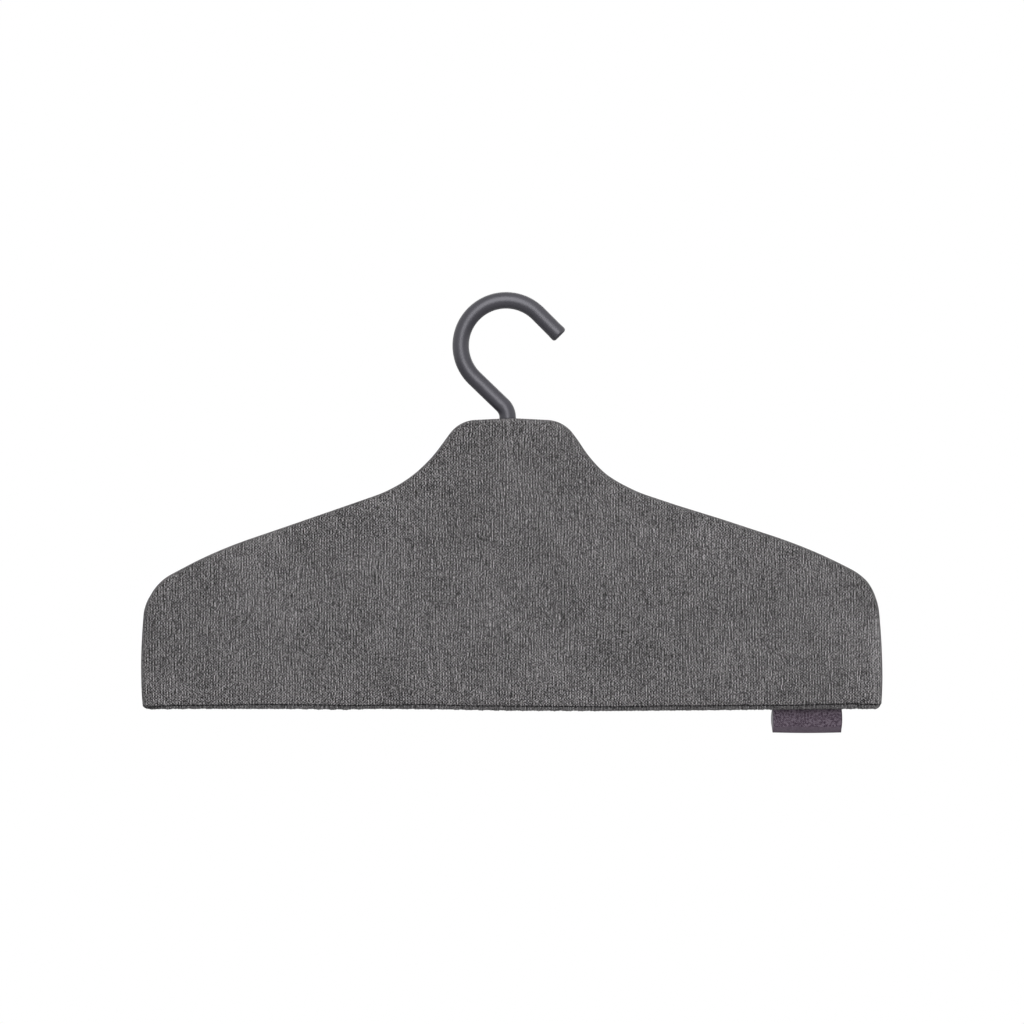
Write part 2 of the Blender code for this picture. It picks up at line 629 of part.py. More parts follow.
def make_label():
    """A woven tape folded in two, its ends sewn into the bottom seam and its fold hanging as a flat loop."""
    steps = LABEL_STEPS
    drop = drop_shape(LABEL_BULGE / 2, LABEL_DROP, COVER_BOTTOM_Z, steps)
    outer = [(y, z) for y, z in drop if z < COVER_BOTTOM_Z - LABEL_TAPE]
    tail = [(-LABEL_TAPE, COVER_BOTTOM_Z + LABEL_TAIL), (LABEL_TAPE, COVER_BOTTOM_Z + LABEL_TAIL)]
    inner = drop_shape(
        LABEL_BULGE / 2 - LABEL_TAPE, LABEL_DROP - 4 * LABEL_TAPE, COVER_BOTTOM_Z - 3 * LABEL_TAPE, steps
    )
    curve = bpy.data.curves.new("label", "CURVE")
    curve.dimensions = "2D"
    curve.fill_mode = "BOTH"
    curve.extrude = LABEL_WIDTH / 2
    for ring in (tail + outer, inner):
        spline = curve.splines.new("POLY")
        spline.points.add(len(ring) - 1)
        spline.use_cyclic_u = True
        for point, (y, z) in zip(spline.points, ring):
            point.co = (y, z, 0.0, 1.0)
    label = add("label", curve)
    label.location.x = COVER_X + COVER_HALF_WIDTH - LABEL_FROM_SIDE
    label.rotation_euler = (math.radians(90), 0.0, math.radians(90))
    return finish(as_mesh(label, PARTS), LABEL_TAPE_CLOTH)


def hang_on(pivot, pieces):
    """Parents pieces to an empty on the swivel's axis, without moving them."""
    for piece in pieces:
        piece.parent = pivot
        piece.matrix_parent_inverse = pivot.matrix_world.inverted()


def build():
    make_hook()
    make_washer("lower_washer", LOWER_WASHER_Z, BARE_STEEL)
    make_lock_nut()
    board = [
        make_washer("upper_washer", UPPER_WASHER_Z, NYLON),
        make_core(),
        make_back_plate(),
        *make_pads(),
        make_cover_front(),
        make_cover_back(),
        make_closure_flap(),
        make_label(),
    ]
    pivot = add("board_swivel", None)
    pivot.location = (STEM_X, 0.0, SEAT_Z)
    bpy.context.view_layer.update()
    hang_on(pivot, board)


build()
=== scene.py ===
"""Looks of the steaming hanger: cloth cover with its seams, hem and label, felt pads,
coated hook and all materials.

Metres, in the CAD's frame: +Z up, +X along the board, front face towards -Y.
"""

import random
from math import atan2, ceil, copysign, cos, dist, exp, pi, radians, sin, sqrt, tan

import bmesh
import bpy
import numpy as np
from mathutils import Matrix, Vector
from mathutils.geometry import delaunay_2d_cdt


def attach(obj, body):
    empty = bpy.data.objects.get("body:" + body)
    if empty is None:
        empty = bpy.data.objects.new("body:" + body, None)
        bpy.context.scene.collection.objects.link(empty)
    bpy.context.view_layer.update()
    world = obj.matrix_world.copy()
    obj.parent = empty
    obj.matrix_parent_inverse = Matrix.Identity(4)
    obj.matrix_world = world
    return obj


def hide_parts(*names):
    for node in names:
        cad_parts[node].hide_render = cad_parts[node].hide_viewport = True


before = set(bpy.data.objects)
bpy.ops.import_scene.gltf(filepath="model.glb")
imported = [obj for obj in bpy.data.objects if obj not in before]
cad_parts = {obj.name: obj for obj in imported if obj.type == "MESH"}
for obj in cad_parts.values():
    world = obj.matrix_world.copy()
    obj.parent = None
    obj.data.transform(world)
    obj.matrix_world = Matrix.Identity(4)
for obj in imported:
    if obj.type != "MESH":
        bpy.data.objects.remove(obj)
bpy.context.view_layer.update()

# Sizes that the CAD source has as well: TOP_Z, BOTTOM_Z and HALF_WIDTH are the cover's
ROD_RADIUS = 0.005
CROOK_RADIUS = 0.0272
CROOK_Z = ROD_RADIUS - CROOK_RADIUS
LEAN = radians(46)
TIP = radians(45)
TIP_RUN = 0.0189
BEND_RADIUS = 0.0105
STEM_X = 0.001
COVER_X = 0.0030785
TOP_Z = CROOK_Z - 0.0436
HALF_WIDTH = 0.223
COVER_HEIGHT = 0.1751
BOTTOM_Z = TOP_Z - COVER_HEIGHT
CLOTH_OUTER = 0.0084
RIM_RADIUS = 0.004
LIP_STEP = 0.0025
LIP_Z = BOTTOM_Z + LIP_STEP
HEM_HEIGHT = 0.012
FLAP_HEIGHT = 0.022
FLAP_FACE = 0.0061
FLAP_RADIUS = 0.003
COVER_EASE = 0.0035
BOARD_RISE = 0.0012
BOARD_CLEARANCE = 0.0002
BOARD_CORNER_RADIUS = 0.004
PAD_INSET = 0.0024
PAD_INNER = 0.0053
PAD_OUTER = 0.0073
WINDOW_HALF_WIDTH = 0.00662
WINDOW_TOP_Z = TOP_Z - 0.0229
WINDOW_BOTTOM_Z = TOP_Z - 0.033
SHOULDER_Z = TOP_Z - 0.0013
SPIGOT_RADIUS = 0.0025
SPIGOT_END_Z = TOP_Z - 0.031
LABEL_X = COVER_X + HALF_WIDTH - 0.0454
LABEL_WIDTH = 0.042
LABEL_DROP = 0.0137
LABEL_TAIL = 0.0016
LABEL_BULGE = 0.0034

# Corners of the cover: shares of its half width and of its height, and fillet radii
COVER_CORNERS = (
    (0.000, 0.000, 0.1000),
    (0.141, 0.009, 0.0200),
    (0.258, 0.220, 0.0775),
    (0.809, 0.454, 0.2900),
    (0.984, 0.576, 0.0334),
    (1.000, 0.840, 0.3570),
    (0.994, 1.000, 0.0043),
)
# How far the loose cloth stands out past that outline on each side: (share of the height, tenths of a mm)
LEFT_FULLNESS = (
    (0.00, 0), (0.04, -1), (0.16, 3), (0.24, 2), (0.29, -2), (0.37, -7), (0.48, -11),
    (0.565, -16), (0.62, -6), (0.66, -2), (0.85, -3), (0.95, -5), (1.00, -9),
)
RIGHT_FULLNESS = (
    (0.00, 0), (0.08, 3), (0.19, -5), (0.24, 2), (0.30, 2), (0.35, 8), (0.43, 10),
    (0.565, 17), (0.62, 6), (0.67, 2), (0.80, 3), (0.90, 5), (1.00, 4),
)
# The rise and fall of the front's lip, and of the fold below it: (share of the half width, tenths of a mm)
LIP_WAVE = (
    (-1.00, -9), (-0.97, -3), (-0.92, 5), (-0.66, 11), (-0.49, 8), (-0.44, 4), (-0.23, 11), (-0.10, 3),
    (0.11, 0), (0.28, -3), (0.41, 3), (0.54, 3), (0.63, 7), (0.76, 6), (0.91, 16), (1.00, 9),
)
FOLD_WAVE = (
    (-1.00, 3), (-0.84, 6), (-0.58, 5), (-0.45, 1), (-0.36, 6), (-0.19, 3), (-0.10, -1),
    (0.00, -5), (0.24, -7), (0.50, -3), (0.67, 1), (0.93, 6), (1.00, 4),
)

BOTTOM_HALF = COVER_CORNERS[-1][0] * HALF_WIDTH
BOTTOM_CORNER = COVER_CORNERS[-1][2]
FLAP_HALF = BOTTOM_HALF - 0.0008

# Cloth
CLOTH_THICKNESS = 0.0007
SEAM_DEPTH = 0.0007
STEM_HOLE = ROD_RADIUS + 0.0004
HEM_RADIUS = 0.00085
SEED = 11

# How finely lines and faces are divided
OUTLINE_STEP = 0.002
STEM_STEP = 0.00035
STEM_ZONE = 0.007
CLOTH_STEP = 0.004
FELT_STEP = 0.006


# Outlines
def corner_list(bottom_z, bottom_radius):
    """(x from the cover's middle, z, fillet radius) of the corners, clockwise from the top's middle."""
    half = [(x * HALF_WIDTH, TOP_Z - z * COVER_HEIGHT, radius) for x, z, radius in COVER_CORNERS]
    above, last = half[-2], half[-1]
    down = (bottom_z - above[1]) / (last[1] - above[1])
    half[-1] = (above[0] + down * (last[0] - above[0]), bottom_z, bottom_radius)
    return half + [(-x, z, radius) for x, z, radius in reversed(half[1:])]


def ways_at(corners, i):
    """The ways along the outline into a corner and out of it, as four numbers."""
    ways = []
    for start, end in ((corners[i - 1], corners[i]), (corners[i], corners[(i + 1) % len(corners)])):
        length = dist(start[:2], end[:2])
        ways += [(end[0] - start[0]) / length, (end[1] - start[1]) / length]
    return ways


def inset(corners, distance):
    """The same outline with every side moved inwards by distance."""
    moved = []
    for i, (x, z, radius) in enumerate(corners):
        ux, uz, vx, vz = ways_at(corners, i)
        reach = distance / (1 + ux * vx + uz * vz)
        convex = ux * vz - uz * vx < 0
        radius = max(radius - distance, 0.0) if convex else radius + distance
        moved.append((x + (uz + vz) * reach, z - (ux + vx) * reach, radius))
    return moved


def rounded(corners, shift_x, shift_z=0.0):
    """Points of the outline, with an arc at each corner."""
    longest_turn, side_share = radians(5), 0.98
    count = len(corners)
    sides = [dist(corners[i][:2], corners[(i + 1) % count][:2]) for i in range(count)]
    ways = [ways_at(corners, i) for i in range(count)]
    turns = [atan2(ux * vz - uz * vx, ux * vx + uz * vz) for ux, uz, vx, vz in ways]
    wanted = [radius * abs(tan(turn / 2)) for (_, _, radius), turn in zip(corners, turns)]
    points = []
    for i, (x, z, radius) in enumerate(corners):
        if wanted[i] == 0.0:
            points.append((x + shift_x, z + shift_z))
            continue
        before = side_share * sides[i - 1] / (wanted[i - 1] + wanted[i])
        after = side_share * sides[i] / (wanted[i] + wanted[(i + 1) % count])
        fit = min(1.0, before, after)
        tangent, radius = wanted[i] * fit, radius * fit
        ux, uz, _, _ = ways[i]
        side = copysign(1.0, turns[i])
        centre_x = x - ux * tangent - uz * radius * side
        centre_z = z - uz * tangent + ux * radius * side
        start = atan2(z - uz * tangent - centre_z, x - ux * tangent - centre_x)
        steps = max(1, ceil(abs(turns[i]) / min(longest_turn, OUTLINE_STEP / radius)))
        for k in range(steps + 1):
            angle = start + turns[i] * k / steps
            points.append((
                centre_x + radius * cos(angle) + shift_x,
                centre_z + radius * sin(angle) + shift_z))
    return points


def spaced(points, closed):
    """The same line with no step longer than OUTLINE_STEP, or than STEM_STEP where the hook comes through."""
    made = []
    count = len(points)
    for i in range(count if closed else count - 1):
        start, end = np.array(points[i]), np.array(points[(i + 1) % count])
        off_stem = min(abs(start[0] - STEM_X), abs(end[0] - STEM_X))
        near_stem = off_stem < STEM_ZONE and start[1] > TOP_Z - STEM_ZONE
        steps = max(1, ceil(dist(start, end) / (STEM_STEP if near_stem else OUTLINE_STEP)))
        made.extend(start + (end - start) * k / steps for k in range(steps))
    if not closed:
        made.append(np.array(points[-1]))
    return np.array(made)


def outward(points, closed):
    """Unit normals of a clockwise line, away from what it encloses."""
    if closed:
        along = np.roll(points, -1, axis=0) - np.roll(points, 1, axis=0)
    else:
        along = np.gradient(points, axis=0)
    along /= np.linalg.norm(along, axis=1)[:, None]
    return np.stack([-along[:, 1], along[:, 0]], axis=1)


def read_off(table, at):
    """The table's distance at each place, in metres, on straight lines between its rows."""
    places, tenths = np.transpose(table)
    return np.interp(at, places, tenths / 10000)


def pulled(points, normals):
    """The outline as the loose cloth lies on the board, a little fuller on the right than on the left."""
    heights = (TOP_Z - points[:, 1]) / COVER_HEIGHT
    left, right = read_off(LEFT_FULLNESS, heights), read_off(RIGHT_FULLNESS, heights)
    fullness = np.where(points[:, 0] > COVER_X, right, left) * np.clip(np.abs(normals[:, 0]) * 4, 0, 1)
    room = COVER_EASE + (COVER_X - STEM_X) * normals[:, 0] - BOARD_RISE * normals[:, 1]
    return points + normals * np.maximum(fullness, BOARD_CLEARANCE - room)[:, None]


def seam_line():
    """The closed line of the seam on the loose cloth, and its outward normals."""
    points = spaced(rounded(corner_list(BOTTOM_Z, BOTTOM_CORNER), COVER_X), closed=True)
    normals = outward(points, closed=True)
    return pulled(points, normals), normals


def running_length(points):
    return np.concatenate([[0.0], np.cumsum(np.linalg.norm(np.diff(points, axis=0), axis=1))])


def quarter_turn(steps):
    """Angles from 0 to a right angle."""
    return [pi / 2 * k / steps for k in range(steps + 1)]


def fading(distance, reach):
    """1 until the distance is more than nothing, and then less and less."""
    return np.exp(-np.maximum(distance, 0.0) / reach)


def wobble(seed, shortest, longest, terms=7):
    """A smooth random function of a length, about -1 to 1."""
    rng = random.Random(seed)
    waves = []
    for _ in range(terms):
        waves.append((2 * pi / rng.uniform(shortest, longest), rng.uniform(0, 2 * pi)))
    return lambda u: sum(np.sin(u * pace + phase) for pace, phase in waves) / sqrt(terms)


def ripple(seed, shortest, longest, terms=9):
    """A smooth random function of a place in the board's plane, about -1 to 1."""
    rng = random.Random(seed)
    waves = []
    for _ in range(terms):
        pace = 2 * pi / rng.uniform(shortest, longest)
        way = rng.uniform(0, pi)
        waves.append((pace * cos(way), pace * sin(way), rng.uniform(0, 2 * pi)))
    return lambda x, z: sum(np.sin(x * a + z * b + phase) for a, b, phase in waves) / sqrt(terms)


# Meshes
def placed(name, data):
    """A new object in the scene."""
    made = bpy.data.objects.new(name, data)
    bpy.context.scene.collection.objects.link(made)
    return made


def new_piece(name, verts, faces, material):
    mesh = bpy.data.meshes.new(name)
    mesh.from_pydata([tuple(map(float, v)) for v in verts], [], faces)
    mesh.validate()
    made = placed(name, mesh)
    mesh.materials.append(material)
    mesh.shade_smooth()
    return made


def face_outwards(piece, towards=None):
    """Makes all faces agree: outwards on a closed mesh, and as towards(face centre) points on an open one."""
    shape = bmesh.new()
    shape.from_mesh(piece.data)
    bmesh.ops.recalc_face_normals(shape, faces=shape.faces)
    if towards is not None:
        agreed = (f.normal.dot(Vector(towards(f.calc_center_median()))) * f.calc_area() for f in shape.faces)
        if sum(agreed) < 0:
            bmesh.ops.reverse_faces(shape, faces=shape.faces)
    shape.to_mesh(piece.data)
    shape.free()


def looped(names):
    return names + names[:1]


def strip(first, second):
    """Quads between two rows of vertex indices."""
    return [(first[i], first[i + 1], second[i + 1], second[i]) for i in range(len(first) - 1)]


def strips(rows, count, closed=False, start=0):
    """Quads between rows of count vertices, which follow one another from index start."""
    faces = []
    for k in range(rows - 1):
        first = list(range(start + k * count, start + (k + 1) * count))
        second = [i + count for i in first]
        faces += strip(looped(first), looped(second)) if closed else strip(first, second)
    return faces


def rod_faces(rings, sides, start=0):
    """Faces of a closed rod whose rings of vertices follow one another from index start."""
    faces = strips(rings, sides, closed=True, start=start)
    first, last = range(start, start + sides), start + (rings - 1) * sides
    return faces + [tuple(reversed(first)), tuple(range(last, last + sides))]


def within(points, loops):
    """Which points lie in the first loop and not in the others, which are holes in it."""
    x, z = points[:, 0][:, None], points[:, 1][:, None]
    crossings = 0
    for loop in loops:
        (ax, az), (bx, bz) = loop.T, np.roll(loop, -1, axis=0).T
        crosses = ((az > z) != (bz > z)) & (x < (bx - ax) * (z - az) / np.where(bz == az, 1.0, bz - az) + ax)
        crossings = crossings + crosses.sum(axis=1)
    return crossings % 2 == 1


def nearest(points, line):
    """For each point, the index of the line's nearest point, and how far off it is."""
    gaps = np.linalg.norm(points[:, None, :] - line[None, :, :], axis=2)
    index = gaps.argmin(axis=1)
    return index, gaps[np.arange(len(points)), index]


def fill(loops, step):
    """Triangles inside the first loop and outside the others: the points that they add to those
    of the loops, and faces whose indices count the loops' points first and the added ones next."""
    row_share, edge_share = 0.866, 0.55
    low, high = loops[0].min(axis=0), loops[0].max(axis=0)
    rows = []
    for j, z in enumerate(np.arange(low[1], high[1], step * row_share)):
        xs = np.arange(low[0] + (j % 2) * step / 2, high[0], step)
        rows.append(np.stack([xs, np.full_like(xs, z)], axis=1))
    grid = np.concatenate(rows)
    grid = grid[within(grid, loops)]
    grid = grid[nearest(grid, np.concatenate(loops))[1] > edge_share * step]
    points = np.concatenate([*loops, grid])
    edges, start = [], 0
    for loop in loops:
        edges += [(start + i, start + (i + 1) % len(loop)) for i in range(len(loop))]
        start += len(loop)
    verts, _, faces, origins, _, _ = delaunay_2d_cdt([Vector(p) for p in points], edges, [], 1, 1e-9)
    names = [origin[0] for origin in origins]
    faces = [tuple(names[i] for i in face) for face in faces]
    kept = within(np.array([points[list(face)].mean(axis=0) for face in faces]), loops)
    return grid, [face for face, keep in zip(faces, kept) if keep]


def tube(paths, radius):
    """Verts and faces of round threads that follow the paths, with pointed ends."""
    sides, end_share = 6, 0.35
    aside = Vector((0.3, 1.0, 0.2))
    verts, faces = [], []
    for path in paths:
        path = [Vector(p) for p in path]
        faces += rod_faces(len(path), sides, len(verts))
        for i, point in enumerate(path):
            along = (path[min(i + 1, len(path) - 1)] - path[max(i - 1, 0)]).normalized()
            across = along.cross(aside).normalized()
            up = along.cross(across)
            thin = radius * (end_share if i in (0, len(path) - 1) else 1.0)
            for k in range(sides):
                angle = 2 * pi * k / sides
                verts.append(point + (across * cos(angle) + up * sin(angle)) * thin)
    return verts, faces


# Materials
class Nodes:
    """A node tree, with short calls to add its nodes."""

    def __init__(self, tree):
        self.tree = tree

    def node(self, kind, **sources):
        """A new node, whose named inputs are joined to their sources or set to them."""
        node = self.tree.nodes.new("ShaderNode" + kind)
        for name, source in sources.items():
            self.join(source, node.inputs[name])
        return node

    def join(self, source, socket):
        if isinstance(source, bpy.types.NodeSocket):
            self.tree.links.new(source, socket)
        else:
            socket.default_value = source

    def math(self, operation, *values):
        node = self.node("Math")
        node.operation = operation
        for value, socket in zip(values, node.inputs):
            self.join(value, socket)
        return node.outputs[0]

    def times(self, first, second):
        return self.math("MULTIPLY", first, second)

    def length(self, first, second):
        """The length of two parts at a right angle."""
        return self.math("SQRT", self.math("MULTIPLY_ADD", first, first, self.times(second, second)))

    def wave(self, value, pitch):
        return self.math("SINE", self.times(value, 2 * pi / pitch))

    def total(self, *terms):
        """The sum of (socket, factor) pairs."""
        result = 0.0
        for socket, factor in terms:
            result = self.math("MULTIPLY_ADD", socket, factor, result)
        return result

    def parts(self, vector):
        return self.node("SeparateXYZ", Vector=vector).outputs

    def point(self, x, y, z=0.0):
        return self.node("CombineXYZ", X=x, Y=y, Z=z).outputs[0]

    def noise(self, where, scale, detail=2.0, roughness=0.5):
        """Noise from about -1 to 1."""
        node = self.node("TexNoise", Vector=where, Scale=scale, Detail=detail, Roughness=roughness)
        return self.math("MULTIPLY_ADD", node.outputs[0], 2.0, -1.0)

    def speck(self, column, row):
        """A random number from -1 to 1 for each cell of a grid."""
        node = self.node("TexWhiteNoise", Vector=self.point(column, row))
        node.noise_dimensions = "2D"
        return self.math("MULTIPLY_ADD", node.outputs["Value"], 2.0, -1.0)

    def ranged(self, value, source, result, kind="LINEAR"):
        """A value between the two source numbers, moved to between the two result numbers."""
        ends = zip(("From Min", "From Max", "To Min", "To Max"), (*source, *result))
        node = self.node("MapRange", Value=value, **dict(ends))
        node.interpolation_type = kind
        return node.outputs[0]

    def span(self, value, low, high):
        """0 at low to 1 at high, and level beyond them."""
        return self.ranged(value, sorted((low, high)), (float(low > high), float(low < high)), "SMOOTHSTEP")

    def shades(self, tone, *stops):
        """Colour by a tone from about -1 to 1: stops are (position from 0 to 1, (r, g, b))."""
        amount = self.math("MULTIPLY_ADD", tone, 0.5, 0.5)
        node = self.node("ValToRGB")
        ramp = node.color_ramp
        while len(ramp.elements) < len(stops):
            ramp.elements.new(0.5)
        for element, (position, colour) in zip(ramp.elements, stops):
            element.position = position
            element.color = (*colour, 1.0)
        self.join(amount, node.inputs[0])
        return node.outputs[0]

    def blend(self, share, first, second):
        """The first colour with a share of the second. A Mix node's colour sockets are taken by number,
        because other sockets have their names too."""
        node = self.node("Mix")
        node.data_type = "RGBA"
        for source, place in ((share, 0), (first, 6), (second, 7)):
            self.join(source, node.inputs[place])
        return node.outputs[2]


class Look(Nodes):
    """A material."""

    def __init__(self, name, roughness, metallic=0.0, specular=0.5, sheen=0.0, sheen_roughness=0.5):
        self.material = bpy.data.materials.new(name)
        self.material.use_nodes = True
        super().__init__(self.material.node_tree)
        self.shader = self.tree.nodes["Principled BSDF"].inputs
        names = ("Roughness", "Metallic", "Specular IOR Level", "Sheen Weight", "Sheen Roughness")
        for socket, value in zip(names, (roughness, metallic, specular, sheen, sheen_roughness)):
            self.shader[socket].default_value = value
        place = self.node("TexCoord")
        self.place = place.outputs["Object"]
        self.facing = place.outputs["Normal"]
        self.x, self.y, self.z = self.parts(self.place)

    def unrolled(self):
        """Places across and down the cloth, as if its rims were folded out flat. Those of the back
        panel are moved, so that its weave isn't the front's."""
        least_level, panel_shift = 0.3, 0.6137
        out_x, _, out_z = self.parts(self.facing)
        level = self.length(out_x, out_z)
        depth = self.math("SUBTRACT", CLOTH_OUTER - CLOTH_THICKNESS, self.math("ABSOLUTE", self.y))
        depth = self.math("MAXIMUM", depth, 0.0)
        over = self.math("DIVIDE", depth, self.math("MAXIMUM", level, least_level))
        panel = self.times(self.math("GREATER_THAN", self.y, 0.0), panel_shift)
        across = self.math("MULTIPLY_ADD", out_x, over, self.math("ADD", self.x, panel))
        down = self.math("MULTIPLY_ADD", out_z, over, self.math("ADD", self.z, panel))
        return across, down

    def colour(self, tone, *stops):
        self.join(self.shades(tone, *stops), self.shader["Base Color"])

    def rough(self, tone, low, high):
        self.join(self.ranged(tone, (-1.0, 1.0), (low, high)), self.shader["Roughness"])

    def bump(self, height, distance):
        node = self.node("Bump", Distance=distance, Height=height)
        self.join(node.outputs[0], self.shader["Normal"])


CLOTH_COLOUR = (0.133, 0.128, 0.131)
# Position on the colour ramp, and the factor on the cloth's colour there
CLOTH_SHADES = ((0.0, 0.02), (0.26, 0.24), (0.5, 0.84), (0.74, 2.0), (1.0, 3.8))


def cloth_looks():
    """A melange plain weave: warp and weft of mixed greys, every third thread darker, so that
    fine upright ribs show."""
    warp_pitch, weft_pitch, warp_drift, weft_drift = 0.000555, 0.00054, 0.0006, 0.0004
    threads_to_a_rib, thread_spread = 3, 3.7
    lattice_across, lattice_down = 0.00193, 0.0016
    look = Look("cloth", 0.92, specular=0.2, sheen=0.12, sheen_roughness=0.4)
    calc, times, span = look.math, look.times, look.span
    across, down = look.unrolled()
    drift = look.noise(look.point(across, times(down, 0.5)), 50.0)
    warps = calc("DIVIDE", calc("MULTIPLY_ADD", drift, warp_drift, across), warp_pitch)
    wefts = calc("DIVIDE", calc("MULTIPLY_ADD", drift, weft_drift, down), weft_pitch)
    warp, weft = calc("FLOOR", warps), calc("FLOOR", wefts)
    fleck = look.speck(warp, weft)
    slub = look.noise(look.point(times(warp, thread_spread), times(down, 160.0)), 1.0, 1.0)
    bar = look.noise(look.point(times(across, 230.0), times(weft, thread_spread)), 1.0, 1.0)
    turn = look.noise(look.point(across, times(down, 0.35)), 230.0, 0.0)
    moved = calc("FLOOR", look.total((turn, 0.9), (drift, 1.6)))
    rib = calc("COSINE", times(calc("ADD", warp, moved), 2 * pi / threads_to_a_rib))
    lattice = times(
        calc("COSINE", look.total((across, 2 * pi / lattice_across), (turn, 1.6))),
        calc("COSINE", look.total((down, 2 * pi / lattice_down), (turn, 1.2))))
    nub = times(rib, look.noise(look.point(times(across, 0.4), down), 750.0, 1.0))
    clouds = look.noise(look.point(across, down), 18.0, 4.0, 0.6)

    # Painted highlight: a lighter strip on the cloth near the right end, where the rim turns towards the
    # light.
    painted_highlight_right_end = times(span(look.x, 0.215, 0.2235), span(look.z, -0.1816, -0.1916))
    # Painted highlight: a lighter line down the middle of the neck below the stem, along the ridge in the
    # cloth.
    painted_highlight_crease = times(
        span(calc("ABSOLUTE", calc("SUBTRACT", look.x, 0.0015)), 0.0014, 0.0004),
        times(span(look.z, -0.1216, -0.1116), span(look.y, 0.0, -0.004)))
    # Painted highlight: a lighter band along the top rim of the neck, where the cloth turns up to the light.
    painted_highlight_top_rim = span(look.z, TOP_Z - 0.0042, TOP_Z - 0.0012)
    # Painted shade: the fold just below the lip is darker towards the left end.
    left_end = COVER_X - BOTTOM_HALF
    painted_shade_left_lip = times(span(look.x, left_end + 0.0165, left_end + 0.012), span(look.z, LIP_Z + 0.001, LIP_Z))
    # Besides the weave, the tone carries painted highlights (right end, crease, top rim) and painted shade
    # (left end of the lip).
    tone = look.total(
        (rib, 0.3), (lattice, 0.41), (nub, 1.8), (fleck, 0.5), (slub, 0.34), (bar, 0.16), (clouds, 0.25),
        (painted_highlight_right_end, 0.2), (painted_highlight_crease, 0.12), (painted_highlight_top_rim, 0.16), (painted_shade_left_lip, -0.26))
    stops = [(position, [channel * factor for channel in CLOTH_COLOUR]) for position, factor in CLOTH_SHADES]
    look.colour(tone, *stops)

    over = times(calc("FRACT", times(calc("ADD", warp, weft), 0.5)), 2.0)
    warp_round = calc("SINE", times(calc("FRACT", warps), pi))
    weft_round = calc("SINE", times(calc("FRACT", wefts), pi))
    under = calc("SUBTRACT", 1.0, over)
    height = calc("MULTIPLY_ADD", warp_round, over, times(weft_round, under))
    look.bump(look.total((height, 0.8), (slub, 0.2)), 0.00012)
    return look.material


def thread_looks(name, dark, light):
    look = Look(name, 0.85, specular=0.25, sheen=0.1)
    run = look.total((look.x, 1.0), (look.z, 1.4), (look.y, 0.8))
    twist = look.math("SINE", look.times(run, 14000.0))
    tone = look.total((look.noise(look.place, 420.0, 1.0), 0.6), (twist, 0.12))
    look.colour(tone, (0.2, dark), (0.8, light))
    look.bump(twist, 0.00004)
    return look.material


def label_looks():
    """Woven tape: fine twill lines, a plainer band along the fold, and a pale lower left corner."""
    look = Look("label_tape", 0.8, specular=0.3, sheen=0.1)
    warp = look.wave(look.x, pitch=0.0005)
    twill = look.wave(look.math("ADD", look.x, look.z), pitch=0.0012)
    speck = look.noise(look.place, 1150.0, 1.0)
    band = look.math("LESS_THAN", look.z, BOTTOM_Z - 0.0102)
    tone = look.total((twill, 0.3), (speck, 2.4), (warp, 0.08), (look.noise(look.place, 120.0), 0.12))
    tone = look.times(tone, look.math("MULTIPLY_ADD", band, -0.5, 1.0))
    plum = look.shades(tone, (0.2, (0.031, 0.018, 0.032)), (0.8, (0.147, 0.117, 0.149)))
    grey = look.shades(tone, (0.25, (0.074, 0.057, 0.075)), (0.75, (0.107, 0.084, 0.109)))
    left = LABEL_X - LABEL_WIDTH / 2
    corner = look.times(
        look.span(look.x, left + 0.0011, left + 0.0002),
        look.span(look.z, BOTTOM_Z - 0.0125, BOTTOM_Z - 0.01))
    colour = look.blend(corner, look.blend(band, plum, grey), (0.26, 0.253, 0.272, 1.0))
    look.join(colour, look.shader["Base Color"])
    look.bump(look.total((warp, 0.4), (twill, 0.4)), 0.00006)
    return look.material


def coated_looks():
    """Satin powder coat: dark, with a fine orange peel."""
    look = Look("coated_steel", 0.39, specular=0.84)
    look.shader["Specular Tint"].default_value = (0.94, 0.93, 1.0, 1.0)
    peel = look.noise(look.place, 900.0)
    broad = look.noise(look.place, 60.0)
    tone = look.total((peel, 0.5), (broad, 0.5))
    look.colour(tone, (0.3, (0.019, 0.018, 0.024)), (0.7, (0.025, 0.024, 0.031)))
    look.rough(broad, 0.38, 0.41)
    look.bump(look.total((peel, 0.7), (broad, 0.3)), 0.00003)
    return look.material


def steel_looks():
    """Zinc-plated steel with turning marks round the upright axis."""
    look = Look("bare_steel", 0.35, metallic=1.0)
    round_axis = look.point(look.times(look.x, 0.1), look.times(look.y, 0.1), look.z)
    marks = look.noise(round_axis, 5000.0)
    patches = look.noise(look.place, 400.0, 3.0)
    look.colour(patches, (0.3, (0.5, 0.5, 0.52)), (0.7, (0.66, 0.66, 0.67)))
    look.rough(marks, 0.28, 0.42)
    look.bump(marks, 0.00002)
    return look.material


def nylon_looks():
    look = Look("nylon", 0.45, specular=0.45)
    cloud = look.noise(look.place, 500.0, 3.0)
    look.colour(cloud, (0.3, (0.73, 0.72, 0.66)), (0.7, (0.8, 0.79, 0.74)))
    look.rough(cloud, 0.4, 0.5)
    look.bump(cloud, 0.00003)
    return look.material


def plastic_looks():
    """Moulded plastic with a spark-eroded grain and faint flow marks."""
    look = Look("core_plastic", 0.55, specular=0.4)
    grain = look.noise(look.place, 2200.0)
    flow = look.noise(look.point(look.x, look.y, look.times(look.z, 0.25)), 50.0, 3.0)
    tone = look.total((grain, 0.3), (flow, 0.7))
    look.colour(tone, (0.3, (0.095, 0.095, 0.104)), (0.7, (0.125, 0.125, 0.136)))
    look.rough(flow, 0.5, 0.6)
    look.bump(grain, 0.00005)
    return look.material


